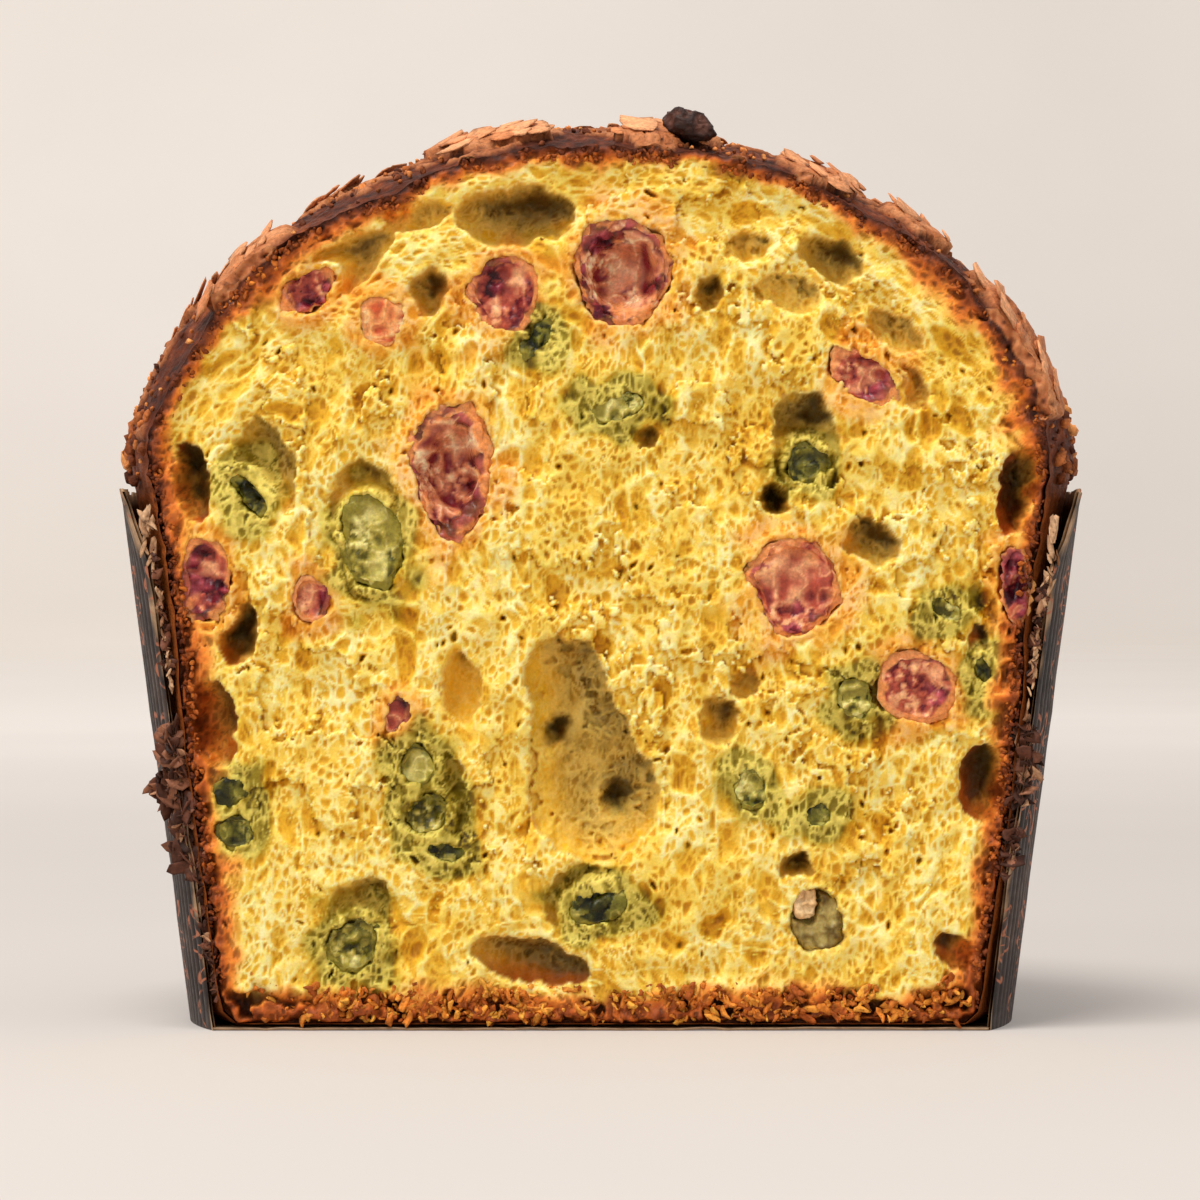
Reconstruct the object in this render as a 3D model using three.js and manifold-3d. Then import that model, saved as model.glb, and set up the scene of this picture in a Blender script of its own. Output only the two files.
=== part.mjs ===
// A tall panettone in its paper case, with its front cut away by one upright knife cut.
// Millimetres, +Z up. The origin is the middle of the round base, on the table.
// The cut face looks along -Y. It shows holes in the crumb with candied fruit seated in them.
import * as THREE from "three";
import { mergeVertices } from "three/addons/utils/BufferGeometryUtils.js";
import Module from "manifold-3d";

const wasm = await Module();
wasm.setup();

// Driving dimensions

const BASE_RADIUS = 84.7; // outside of the case at the table
const RIM_RADIUS = 99.0; // outside of the case at its rim
const RIM_HEIGHT = 108.6;
const PAPER = 1.0; // thickness of the case
const CUT_DEPTH = 34.0; // the cut lies this far in front of the middle
const TOP_HEIGHT = 182.5; // top of the crust, without its glaze
const DOME_RADIUS = 96.5; // widest part of the dome
const DOME_BASE = 113.0; // height of that widest part
const DOME_POWER = 1.86; // 2 would be an ellipse, and less is more pointed
const GAP = 0.35; // between pieces that touch
const DOME_HEIGHT = TOP_HEIGHT - DOME_BASE;

// The bread's side inside the case: heights, and its gap to the paper at each.

const BREAD_FOOT = PAPER + GAP;
const FOOT_INSET = 3.0; // the bottom edge of the bread is rounded off by this much
const SIDE = [
  { z: BREAD_FOOT + 2.5, gap: 0.6 },
  { z: 22, gap: 0.55 },
  { z: 44, gap: 0.65 },
  { z: 64, gap: 0.9 },
  { z: 84, gap: 2.5 },
  { z: 98, gap: 2.1 },
];

// The paper's cut ends, which spread outwards towards the rim.

const FLAP_HEIGHT = 20; // how far below the rim they start to spread
const FLAP_LENGTH = 16; // how far behind the cut
const FLAP_REACH = 2.8;
const FLAP_SIDES = [40, 80]; // distance from the middle plane, from where to fully

// Round sections, blob roundness and unevenness

const TURN_STEPS = 56;
const CASE_STEPS = 64;
const DOME_STEPS = 10;
const LARGE_LUMP = 13; // lumps wider than this get finer faces
const LUMP_STEPS = { small: 10, large: 14 };
const UNEVEN = [
  { share: 0.17, size: 0.85 },
  { share: 0.07, size: 0.4 },
]; // how far a lump's outline leaves its ellipse, for lumps of half size 1
const CRUST_LUMPS = [
  { rise: 0.9, size: 17 },
  { rise: 0.5, size: 7 },
];
const HELD_DENTS = { rise: 0.25, size: 21 }; // on the bread's side in the case
const CRUST_FREE = [RIM_HEIGHT - 14, DOME_BASE + 6]; // heights between which it turns rough
const WRINKLE = { share: 0.12, size: 0.5 }; // of the raisin on top
const CRUMPLE = { share: 0.3, size: 0.6 }; // of the torn paper

// How lumps meet the cut

const CLEAR = 3; // how far a cutting lump stands in front of the cut
const MOUTH = 1.04; // width of its mouth at the cut, as a share of its widest place
const FRUIT_FRONT = 0.3; // depth of a piece's front behind the cut, unless its row says
const FRUIT_WIDEST = 0.24; // where a piece is widest, as a share of its thickness

const MATERIALS = {
  crumb: new THREE.MeshStandardMaterial({ color: 0xe3b94c, roughness: 0.75 }),
  paper: new THREE.MeshStandardMaterial({ color: 0x3a2318, roughness: 0.55 }),
  red: new THREE.MeshStandardMaterial({ color: 0xa9464a, roughness: 0.35 }),
  green: new THREE.MeshStandardMaterial({ color: 0x7a7a2c, roughness: 0.3 }),
  nut: new THREE.MeshStandardMaterial({ color: 0xcaa56f, roughness: 0.6 }),
  raisin: new THREE.MeshStandardMaterial({ color: 0x2b1712, roughness: 0.5 }),
};

// Holes in the crumb, as seen on the cut face: middle (x, z), width, height, depth behind
// the cut, and turn, which is counter-clockwise in degrees as seen from the front.
// The last two are the dark pockets between the bread's shoulders and the paper.

const HOLES = [
  { x: -16.6, z: 163.2, wide: 26.4, high: 12.4, deep: 10, turn: 4 },
  { x: -53.0, z: 152.0, wide: 27.0, high: 10.0, deep: 9, turn: 35 },
  { x: -37.8, z: 162.4, wide: 17.0, high: 5.2, deep: 4, turn: 14 },
  { x: -34.6, z: 147.6, wide: 7.6, high: 9.8, deep: 9, turn: -15 },
  { x: 21.6, z: 148.0, wide: 6.0, high: 8.0, deep: 8, turn: -20 },
  { x: 46.8, z: 154.2, wide: 13.4, high: 8.4, deep: 8, turn: -25 },
  { x: 29.4, z: 157.0, wide: 11.0, high: 7.0, deep: 4, turn: 5 },
  { x: 37.4, z: 147.6, wide: 14.0, high: 8.0, deep: 3.5, turn: -10 },
  { x: 59.2, z: 139.8, wide: 14.0, high: 7.0, deep: 4, turn: -30 },
  { x: 60.8, z: 129.6, wide: 13.0, high: 8.4, deep: 5, turn: -40 },
  { x: 40.6, z: 117.6, wide: 12.8, high: 20.6, deep: 11, turn: -5 },
  { x: 35.2, z: 106.4, wide: 5.6, high: 7.0, deep: 14, turn: 0 },
  { x: 54.4, z: 97.8, wide: 11.8, high: 8.8, deep: 9, turn: -15 },
  { x: -67.8, z: 112.6, wide: 13.0, high: 21.0, deep: 6, turn: 8 },
  { x: -47.8, z: 102.2, wide: 14.6, high: 29.6, deep: 8, turn: 3 },
  { x: -72.6, z: 79.4, wide: 7.4, high: 13.4, deep: 12, turn: -8 },
  { x: -77.8, z: 61.4, wide: 9.6, high: 18.0, deep: 9, turn: 5 },
  { x: -28.0, z: 67.8, wide: 7.0, high: 15.6, deep: 5, turn: 5 },
  { x: -7.2, z: 66.2, wide: 17.0, high: 29.0, deep: 7, turn: 10 },
  { x: -3.6, z: 57.4, wide: 22.0, high: 28.0, deep: 7.6, turn: 12 },
  { x: -1.0, z: 47.8, wide: 25.0, high: 27.0, deep: 8, turn: 14 },
  { x: -9.6, z: 59.2, wide: 5.6, high: 8.4, deep: 15, turn: 0 },
  { x: 2.6, z: 45.8, wide: 6.8, high: 8.0, deep: 15, turn: 0 },
  { x: 23.4, z: 62.2, wide: 8.6, high: 9.2, deep: 8, turn: 0 },
  { x: 28.8, z: 69.2, wide: 6.6, high: 5.8, deep: 4, turn: 0 },
  { x: 76.0, z: 49.8, wide: 8.8, high: 16.4, deep: 8, turn: 0 },
  { x: 76.2, z: 74.5, wide: 5.4, high: 17.0, deep: 8, turn: 5 },
  { x: 39.8, z: 31.8, wide: 7.0, high: 7.4, deep: 12, turn: 0 },
  { x: 43.0, z: 23.2, wide: 14.0, high: 18.0, deep: 8, turn: 0 },
  { x: -14.2, z: 14.0, wide: 24.0, high: 8.4, deep: 7, turn: -14 },
  { x: -49.0, z: 20.8, wide: 13.0, high: 22.0, deep: 8, turn: -15 },
  { x: -33.8, z: 45.4, wide: 12.8, high: 21.0, deep: 8, turn: 0 },
  { x: -3.2, z: 26.0, wide: 21.0, high: 15.0, deep: 6, turn: 10 },
  { x: 70.8, z: 15.6, wide: 8.8, high: 7.2, deep: 6, turn: -20 },
  { x: 8.8, z: 118.8, wide: 5.6, high: 4.6, deep: 9, turn: 0 },
  { x: -82.0, z: 110.0, wide: 6.4, high: 17.0, deep: 10, turn: 12 },
  { x: 83.6, z: 108.6, wide: 7.6, high: 17.0, deep: 10, turn: -10 },
];

// Pieces of candied fruit and raisin, in the same terms. front is how far the piece starts
// behind the cut, boxy is the power of its squareness (2 is round), and bowl is how deep
// its front is hollowed.

const FRUIT = [
  { name: "red_fruit_01", x: -58.4, z: 148.4, wide: 14.4, high: 7.8, thick: 9, front: 1.5, turn: 34 },
  { name: "red_fruit_02", x: -44.0, z: 141.8, wide: 11.2, high: 10.0, thick: 9, turn: 20 },
  { name: "red_fruit_03", x: -19.4, z: 146.6, wide: 14.4, high: 17.2, thick: 12, turn: 5 },
  { name: "red_fruit_04", x: 3.8, z: 151.8, wide: 20.8, high: 22.8, thick: 17, turn: 0, bowl: 4.5 },
  { name: "red_fruit_05", x: 52.4, z: 130.8, wide: 17.0, high: 9.6, thick: 9, turn: -42 },
  { name: "red_fruit_06", x: -29.6, z: 112.0, wide: 17.4, high: 32.0, thick: 16, turn: 2, bowl: 4 },
  { name: "red_fruit_07", x: -79.4, z: 90.6, wide: 10.4, high: 17.6, thick: 11, turn: 0, boxy: 2.6 },
  { name: "red_fruit_08", x: -58.6, z: 86.2, wide: 8.0, high: 10.6, thick: 7, turn: 15 },
  { name: "red_fruit_09", x: -41.0, z: 63.4, wide: 6.6, high: 10.4, thick: 7, turn: -10 },
  { name: "red_fruit_10", x: 39.4, z: 88.8, wide: 17.6, high: 20.4, thick: 15, turn: 27, boxy: 4 },
  { name: "red_fruit_11", x: 64.0, z: 68.8, wide: 17.4, high: 14.6, thick: 13, turn: -18, boxy: 3 },
  { name: "red_fruit_12", x: 83.0, z: 89.4, wide: 6.8, high: 17.0, thick: 9, turn: 0, boxy: 2.6 },
  { name: "nut_01", x: 40.8, z: 25.6, wide: 5.2, high: 7.6, thick: 5, front: 0, turn: -8, boxy: 3 },
  { name: "raisin_01", x: 43.4, z: 21.6, wide: 11.4, high: 14.4, thick: 10, front: 0.8, turn: 12 },
  { name: "green_fruit_01", x: -12.6, z: 138.4, wide: 9.8, high: 5.4, thick: 7, turn: 48 },
  { name: "green_fruit_02", x: -70.4, z: 107.4, wide: 4.6, high: 15.0, thick: 8, front: 1, turn: 38 },
  { name: "green_fruit_03", x: -45.8, z: 98.0, wide: 12.4, high: 20.0, thick: 9, front: 1.5, turn: 14 },
  { name: "green_fruit_04", x: 2.6, z: 124.6, wide: 12.6, high: 7.4, thick: 8, turn: 12 },
  { name: "green_fruit_05", x: 41.4, z: 113.2, wide: 9.8, high: 10.6, thick: 9, front: 2.5, turn: 0 },
  { name: "green_fruit_06", x: -74.6, z: 47.6, wide: 8.6, high: 7.6, thick: 8, front: 0.6, turn: 20 },
  { name: "green_fruit_07", x: -73.0, z: 39.6, wide: 10.0, high: 8.2, thick: 9, front: 0.4, turn: -10 },
  { name: "green_fruit_08", x: -36.6, z: 53.4, wide: 8.4, high: 10.0, thick: 8, front: 1.2, turn: 25 },
  { name: "green_fruit_09", x: -34.8, z: 43.0, wide: 10.0, high: 9.6, thick: 9, front: 2.2, turn: 0 },
  { name: "green_fruit_10", x: -31.8, z: 35.8, wide: 10.4, high: 4.8, thick: 7, front: 1, turn: -8 },
  { name: "green_fruit_11", x: -49.4, z: 16.8, wide: 12.0, high: 12.6, thick: 10, front: 1.2, turn: -20 },
  { name: "green_fruit_12", x: -0.4, z: 24.8, wide: 14.8, high: 8.4, thick: 10, front: 0.4, turn: 20 },
  { name: "green_fruit_13", x: 68.8, z: 84.0, wide: 9.4, high: 5.6, thick: 7, front: 0.6, turn: -35 },
  { name: "green_fruit_14", x: 76.6, z: 71.6, wide: 3.6, high: 10.4, thick: 6, front: 1.5, turn: 5 },
  { name: "green_fruit_15", x: 51.4, z: 66.8, wide: 9.0, high: 8.6, thick: 8, turn: 0 },
  { name: "green_fruit_16", x: 29.8, z: 48.2, wide: 7.2, high: 9.2, thick: 7, turn: 10 },
  { name: "green_fruit_17", x: 43.6, z: 42.8, wide: 7.0, high: 6.8, thick: 7, front: 0.5, turn: 0 },
];

// The raisin that lies on the glaze just behind the cut.

const TOP_RAISIN = { x: 17.6, y: -28.5, z: 181.6, long: 11.2, thick: 7.0, lean: -20 };

// Glaze plates on the dome: azimuth from the front, positive to the right, and lean from
// the top, both in degrees, with their size along each. Those at the front meet the cut.
// Each ring at the back runs from its start to the same azimuth on the other side.

const PLATES = [
  { around: -50, lean: 24, wide: 46, high: 26 },
  { around: 30, lean: 22, wide: 30, high: 24 },
  { around: 62, lean: 40, wide: 24, high: 22 },
  { around: 72, lean: 54, wide: 17, high: 18 },
  { around: 72, lean: 73, wide: 24, high: 36 },
  { around: -68, lean: 62, wide: 17, high: 24 },
];
const BACK_RINGS = [
  { lean: 16, count: 2, wide: 32, high: 26, start: 130 },
  { lean: 42, count: 4, wide: 36, high: 28, start: 112 },
  { lean: 68, count: 5, wide: 36, high: 26, start: 100 },
];
const PLATE_CORNERS = 9;
const PLATE_ROOT = 2.2; // how far a plate reaches into the crust
const PLATE_EDGE = 2.2; // its rise over the crust at its edge
const PLATE_TOP = 3.0; // and in its middle
const PLATE_WAVE = 0.7;
const PLATE_SHARE = 0.62; // size of its flat middle
const PLATE_RAGGED = { least: 0.36, spread: 0.25 }; // reach of its corners
const RING_JITTER = { around: 10, lean: 8, least: 0.75, spread: 0.5 };

// Torn paper and crust that hang on the outside of the case by the cut.

const TORN = [
  { side: -1, z: 48.0, wide: 9, high: 12, out: 8.4 },
  { side: -1, z: 37.5, wide: 8, high: 16, out: 5.4 },
  { side: -1, z: 56.5, wide: 7, high: 9, out: 4.4 },
  { side: 1, z: 53.0, wide: 7, high: 16, out: 4.2 },
  { side: 1, z: 37.0, wide: 6, high: 10, out: 2.6 },
];

// Deterministic noise

function hash(i, j, k) {
  const s = Math.sin(i * 127.1 + j * 311.7 + k * 74.7) * 43758.5453;
  return s - Math.floor(s);
}

function smooth(t) {
  return t * t * (3 - 2 * t);
}

function step(low, high, value) {
  return smooth(Math.min(1, Math.max(0, (value - low) / (high - low))));
}

// Value noise from -1 to 1, whose lumps are about size across.
function noise(x, y, z, size) {
  const [i, j, k] = [x, y, z].map((v) => Math.floor(v / size));
  const [u, v, w] = [x / size - i, y / size - j, z / size - k].map(smooth);
  let sum = 0;
  for (let a = 0; a < 2; a++)
    for (let b = 0; b < 2; b++)
      for (let c = 0; c < 2; c++)
        sum +=
          hash(i + a, j + b, k + c) *
          (a ? u : 1 - u) *
          (b ? v : 1 - v) *
          (c ? w : 1 - w);
  return 2 * sum - 1;
}

// Solids

function solidOf(geometry) {
  const bare = geometry.index ? geometry.toNonIndexed() : geometry.clone();
  bare.deleteAttribute("normal");
  bare.deleteAttribute("uv");
  const merged = mergeVertices(bare, 1e-3);
  return new wasm.Manifold(
    new wasm.Mesh({
      numProp: 3,
      vertProperties: new Float32Array(merged.attributes.position.array),
      triVerts: new Uint32Array(merged.index.array),
    }),
  );
}

function geometryOf(solid) {
  const mesh = solid.getMesh();
  const geometry = new THREE.BufferGeometry();
  const points = new Float32Array(mesh.vertProperties);
  geometry.setAttribute("position", new THREE.BufferAttribute(points, 3));
  geometry.setIndex(new THREE.BufferAttribute(new Uint32Array(mesh.triVerts), 1));
  return geometry.toNonIndexed();
}

// Moves every vertex of a geometry to the place that move(x, y, z) returns.
function reshape(geometry, move) {
  const at = geometry.attributes.position;
  for (let n = 0; n < at.count; n++)
    at.setXYZ(n, ...move(at.getX(n), at.getY(n), at.getZ(n)));
  return geometry;
}

function largestBody(solid) {
  return solid.decompose().sort((a, b) => b.volume() - a.volume())[0];
}

// A solid turned about +Z from a profile of [radius, height] points.
function turned(profile, steps, move) {
  const points = profile.map(([r, z]) => new THREE.Vector2(r, z));
  const geometry = new THREE.LatheGeometry(points, steps).rotateX(Math.PI / 2);
  return solidOf(reshape(geometry, move));
}

// What the knife took away: everything in front of the cut.
function frontOfCut() {
  const size = 4 * RIM_RADIUS;
  const box = new THREE.BoxGeometry(size, size, size);
  return solidOf(box.translate(0, -CUT_DEPTH - size / 2, TOP_HEIGHT / 2));
}

function isLarge(spot) {
  return Math.max(spot.wide, spot.high) > LARGE_LUMP;
}

// An uneven lump at a spot on the cut face, made larger all round by grow. The profile
// runs from its front to its back, as [share of the half size, depth behind the cut].
function lump(spot, profile, grow = 0) {
  const power = spot.boxy ?? 2;
  const steps = isLarge(spot) ? LUMP_STEPS.large : LUMP_STEPS.small;
  const points = profile.map(([share, depth]) => new THREE.Vector2(share, depth));
  const geometry = reshape(new THREE.LatheGeometry(points, steps), (x, y, z) => {
    const share = Math.hypot(x, z);
    if (share < 1e-6) return [0, y, 0];
    const [u, w] = [x / share, z / share];
    const square = (Math.abs(u) ** power + Math.abs(w) ** power) ** (-1 / power);
    const uneven = UNEVEN.map((n) => n.share * noise(u + spot.x, 0, w + spot.z, n.size));
    const reach = square * (1 + uneven[0] + uneven[1]);
    return [x * reach * (spot.wide / 2 + grow), y, z * reach * (spot.high / 2 + grow)];
  });
  geometry.rotateY((-spot.turn * Math.PI) / 180);
  return solidOf(geometry.translate(spot.x, -CUT_DEPTH, spot.z));
}

// The back of a lump, from its widest place at one depth to its end at another.
function roundBack(spot, widest, end) {
  const shares = isLarge(spot) ? [1, 0.86, 0.5, 0] : [1, 0.72, 0];
  return shares.map((share) => [
    share,
    widest + (end - widest) * Math.sqrt(1 - share * share),
  ]);
}

function makeHole(spot) {
  const mouth = [[0, -CLEAR], [MOUTH, -CLEAR]];
  return lump(spot, [...mouth, ...roundBack(spot, 0, spot.deep)]);
}

// The case

function caseOuterRadius(z) {
  return BASE_RADIUS + ((RIM_RADIUS - BASE_RADIUS) * z) / RIM_HEIGHT;
}

function spreadFlap(x, y, z) {
  const high = step(RIM_HEIGHT - FLAP_HEIGHT, RIM_HEIGHT, z);
  const near = step(-CUT_DEPTH + FLAP_LENGTH, -CUT_DEPTH, y);
  const side = Math.sign(x) * step(...FLAP_SIDES, Math.abs(x));
  return [x + side * FLAP_REACH * high * near, y, z];
}

// What stays free of torn paper: everything inside the middle of the case's wall.
function insideOfWall() {
  const [low, high] = [0, RIM_HEIGHT].map((z) => caseOuterRadius(z) - PAPER / 2);
  const bore = new THREE.CylinderGeometry(high, low, RIM_HEIGHT, CASE_STEPS);
  return solidOf(bore.rotateX(Math.PI / 2).translate(0, 0, RIM_HEIGHT / 2));
}

// A crumpled flake of torn paper on the outside of the case, by the cut.
function makeFlake({ side, z, wide, high, out }) {
  const y = -CUT_DEPTH + wide / 2 - 0.5;
  const x = side * Math.sqrt((caseOuterRadius(z) - PAPER / 2) ** 2 - y ** 2);
  const geometry = reshape(new THREE.IcosahedronGeometry(1, 1), (u, v, w) => {
    const reach = 1 + CRUMPLE.share * noise(u + z, v, w, CRUMPLE.size);
    return [u * out * reach, (v * wide * reach) / 2, (w * high * reach) / 2];
  });
  return solidOf(geometry.translate(x, y, z)).subtract(insideOfWall());
}

function makeCase() {
  const heights = [PAPER, 30, 60, 88, 98, RIM_HEIGHT];
  const inside = heights.map((z) => [caseOuterRadius(z) - PAPER, z]);
  const outside = heights.slice(1, -1).map((z) => [caseOuterRadius(z), z]);
  const profile = [
    [0, 0],
    [BASE_RADIUS, 0],
    ...outside,
    [RIM_RADIUS, RIM_HEIGHT],
    ...inside.reverse(),
    [0, PAPER],
  ];
  let shell = turned(profile, CASE_STEPS, spreadFlap);
  for (const torn of TORN) shell = shell.add(makeFlake(torn));
  return largestBody(shell.subtract(frontOfCut()));
}

// The bread

// Distance from the dome's middle to its skin along a unit direction.
function domeReach(across, up) {
  const flat = (across / DOME_RADIUS) ** DOME_POWER;
  const tall = (up / DOME_HEIGHT) ** DOME_POWER;
  return (flat + tall) ** (-1 / DOME_POWER);
}

// The browned crust is lumpy above the rim, and smooth where the case holds it.
function roughCrust(x, y, z) {
  const onFoot = z < BREAD_FOOT + 0.1;
  if (onFoot) return [x, y, z];
  const free = step(...CRUST_FREE, z);
  const [wide, fine] = CRUST_LUMPS.map((n) => n.rise * noise(x, y, z, n.size));
  const dent = HELD_DENTS.rise * (1 + noise(x, y, z, HELD_DENTS.size));
  const above = Math.max(0, z - DOME_BASE);
  const long = Math.hypot(x, y, above);
  const push = long < 1 ? 0 : (free * (wide + fine) - (1 - free) * dent) / long;
  return [x * (1 + push), y * (1 + push), z + above * push];
}

function breadProfile() {
  const footRadius = BASE_RADIUS - PAPER - FOOT_INSET;
  const profile = [
    [0, BREAD_FOOT],
    [footRadius / 2, BREAD_FOOT],
    [footRadius, BREAD_FOOT],
    ...SIDE.map(({ z, gap }) => [caseOuterRadius(z) - PAPER - gap, z]),
  ];
  for (let n = 0; n <= DOME_STEPS; n++) {
    const angle = ((n / DOME_STEPS) * Math.PI) / 2;
    const reach = domeReach(Math.cos(angle), Math.sin(angle));
    const across = n === DOME_STEPS ? 0 : reach * Math.cos(angle);
    profile.push([across, DOME_BASE + reach * Math.sin(angle)]);
  }
  return profile;
}

// A point on the dome, out by rise from its skin, at an azimuth and lean in degrees.
function onDome(around, lean, rise) {
  const a = THREE.MathUtils.degToRad(around);
  const l = THREE.MathUtils.degToRad(lean);
  const reach = domeReach(Math.sin(l), Math.cos(l)) + rise;
  return [
    reach * Math.sin(l) * Math.sin(a),
    -reach * Math.sin(l) * Math.cos(a),
    DOME_BASE + reach * Math.cos(l),
  ];
}

// One broken plate of glaze: a ragged sheet that lies on the dome and reaches into it.
function plate({ around, lean, wide, high }, seed) {
  const sheet = [];
  const girth = Math.max(0.3, Math.sin(THREE.MathUtils.degToRad(lean)));
  for (let n = 0; n < PLATE_CORNERS; n++) {
    const angle = (n / PLATE_CORNERS) * 2 * Math.PI;
    const ragged = PLATE_RAGGED.least + PLATE_RAGGED.spread * hash(n, seed, 3);
    const turn = (wide / DOME_RADIUS / girth) * ragged * Math.cos(angle);
    const tip = (high / DOME_RADIUS) * ragged * Math.sin(angle);
    sheet.push([THREE.MathUtils.radToDeg(turn), THREE.MathUtils.radToDeg(tip)]);
  }
  const rings = [
    { share: 1, rise: -PLATE_ROOT },
    { share: 1, rise: PLATE_EDGE },
    { share: PLATE_SHARE, rise: PLATE_TOP },
  ];
  const points = rings.flatMap(({ share, rise }, r) =>
    sheet.map(([turn, tip], n) => {
      const wave = r ? PLATE_WAVE * (hash(n, seed, r) - 0.5) : 0;
      return onDome(around + share * turn, lean + share * tip, rise + wave);
    }),
  );
  const low = points.push(onDome(around, lean, -PLATE_ROOT)) - 1;
  const top = points.push(onDome(around, lean, PLATE_EDGE)) - 1;
  const faces = [];
  for (let n = 0; n < PLATE_CORNERS; n++) {
    const next = (n + 1) % PLATE_CORNERS;
    for (let r = 0; r < rings.length - 1; r++) {
      const [a, b] = [r * PLATE_CORNERS + n, r * PLATE_CORNERS + next];
      const [c, d] = [a + PLATE_CORNERS, b + PLATE_CORNERS];
      faces.push([a, b, d], [a, d, c]);
    }
    const last = (rings.length - 1) * PLATE_CORNERS;
    faces.push([low, next, n], [top, last + n, last + next]);
  }
  const geometry = new THREE.BufferGeometry();
  geometry.setAttribute("position", new THREE.Float32BufferAttribute(points.flat(), 3));
  geometry.setIndex(faces.flat());
  const made = solidOf(geometry);
  return made.volume() > 0 ? made : solidOf(flipped(geometry));
}

function flipped(geometry) {
  const turnedRound = geometry.clone();
  const index = turnedRound.index.array;
  for (let n = 0; n < index.length; n += 3)
    [index[n + 1], index[n + 2]] = [index[n + 2], index[n + 1]];
  return turnedRound;
}

function allPlates() {
  const { around, lean, least, spread } = RING_JITTER;
  const back = BACK_RINGS.flatMap((row, ring) =>
    Array.from({ length: row.count }, (_, n) => {
      const along = row.start + (n / (row.count - 1)) * (360 - 2 * row.start);
      return {
        around: along + around * (hash(n, ring, 5) - 0.5),
        lean: row.lean + lean * (hash(n, ring, 6) - 0.5),
        wide: row.wide * (least + spread * hash(n, ring, 7)),
        high: row.high * (least + spread * hash(n, ring, 8)),
      };
    }),
  );
  return [...PLATES, ...back];
}

// A piece of fruit, trimmed by the knife, with its front hollowed if it has a bowl.
function makeFruit(spot) {
  const front = spot.front ?? FRUIT_FRONT;
  const bowl = spot.bowl ?? 0;
  const flat = [[0, front], [0.8, front]];
  const hollow = [
    [0, front + bowl],
    [0.42, front + 0.8 * bowl],
    [0.68, front + 0.1 * bowl],
    [0.84, front],
  ];
  const back = roundBack(spot, front + FRUIT_WIDEST * spot.thick, front + spot.thick);
  return lump(spot, [...(bowl ? hollow : flat), ...back]);
}

// The seat of a piece of fruit, which is open at the cut.
function makeSeat(spot) {
  const front = spot.front ?? FRUIT_FRONT;
  const widest = front + FRUIT_WIDEST * spot.thick;
  const back = roundBack(spot, widest, front + spot.thick + GAP);
  return lump(spot, [[0, -CLEAR], [MOUTH, -CLEAR], ...back], GAP + 0.1);
}

function makeBread(seats) {
  let bread = turned(breadProfile(), TURN_STEPS, roughCrust);
  allPlates().forEach((spot, n) => (bread = bread.add(plate(spot, n + 1))));
  bread = bread.subtract(frontOfCut());
  for (const hole of HOLES) bread = bread.subtract(makeHole(hole));
  return largestBody(bread.subtract(seats));
}

// The raisin on the glaze, or with grow the seat that it lies in.
function makeTopRaisin(grow = 0) {
  const long = TOP_RAISIN.long / 2 + grow;
  const thick = TOP_RAISIN.thick / 2 + grow;
  const geometry = reshape(new THREE.IcosahedronGeometry(1, 1), (x, y, z) => {
    const wrinkle = 1 + WRINKLE.share * noise(x, y, z, WRINKLE.size);
    return [x * long * wrinkle, y * thick * wrinkle, z * thick * wrinkle];
  });
  geometry.rotateY((-TOP_RAISIN.lean * Math.PI) / 180);
  return solidOf(geometry.translate(TOP_RAISIN.x, TOP_RAISIN.y, TOP_RAISIN.z));
}

// Assembly

const part = new THREE.Group();

function addNode(name, solid, material) {
  const mesh = new THREE.Mesh(geometryOf(solid), material);
  mesh.name = name;
  part.add(mesh);
}

// Where two seats meet, the piece that comes first keeps its shape.
let seats = makeTopRaisin(GAP);
const pieces = [];
for (const spot of FRUIT) {
  const piece = makeFruit(spot);
  pieces.push([spot, largestBody(piece.subtract(seats))]);
  seats = seats.add(makeSeat(spot));
}

addNode("case", makeCase(), MATERIALS.paper);
addNode("bread", makeBread(seats), MATERIALS.crumb);
addNode("raisin_top", makeTopRaisin(), MATERIALS.raisin);
for (const [spot, piece] of pieces) {
  const kind = spot.name.split("_")[0];
  addNode(spot.name, piece, MATERIALS[kind]);
}

export default part;
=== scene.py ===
# A cut panettone in its paper case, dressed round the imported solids.
# Lengths are in millimetres until a mesh is made. The frame is +Z up, and the cut faces -Y.
import itertools
import math

import bmesh
import bpy
import numpy as np
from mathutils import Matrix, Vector
from mathutils.bvhtree import BVHTree


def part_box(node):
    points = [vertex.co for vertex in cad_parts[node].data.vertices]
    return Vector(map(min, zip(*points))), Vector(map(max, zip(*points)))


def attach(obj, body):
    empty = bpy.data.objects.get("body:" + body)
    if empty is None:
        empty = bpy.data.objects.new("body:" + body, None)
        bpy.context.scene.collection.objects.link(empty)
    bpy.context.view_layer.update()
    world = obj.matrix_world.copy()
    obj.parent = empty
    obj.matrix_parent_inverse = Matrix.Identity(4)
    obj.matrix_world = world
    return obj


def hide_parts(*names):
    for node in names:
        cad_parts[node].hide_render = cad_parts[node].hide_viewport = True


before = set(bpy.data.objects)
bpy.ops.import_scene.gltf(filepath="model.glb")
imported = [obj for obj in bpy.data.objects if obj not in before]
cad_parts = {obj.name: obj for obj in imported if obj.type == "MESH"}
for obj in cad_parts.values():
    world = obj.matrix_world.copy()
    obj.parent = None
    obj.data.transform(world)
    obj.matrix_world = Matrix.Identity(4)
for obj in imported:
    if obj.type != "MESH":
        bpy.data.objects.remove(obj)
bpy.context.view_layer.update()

MM = 0.001
BODY = "root"


def in_mm(corner):
    return np.array(corner, float) / MM


# Driving dimensions, read from the frame where it holds them

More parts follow.
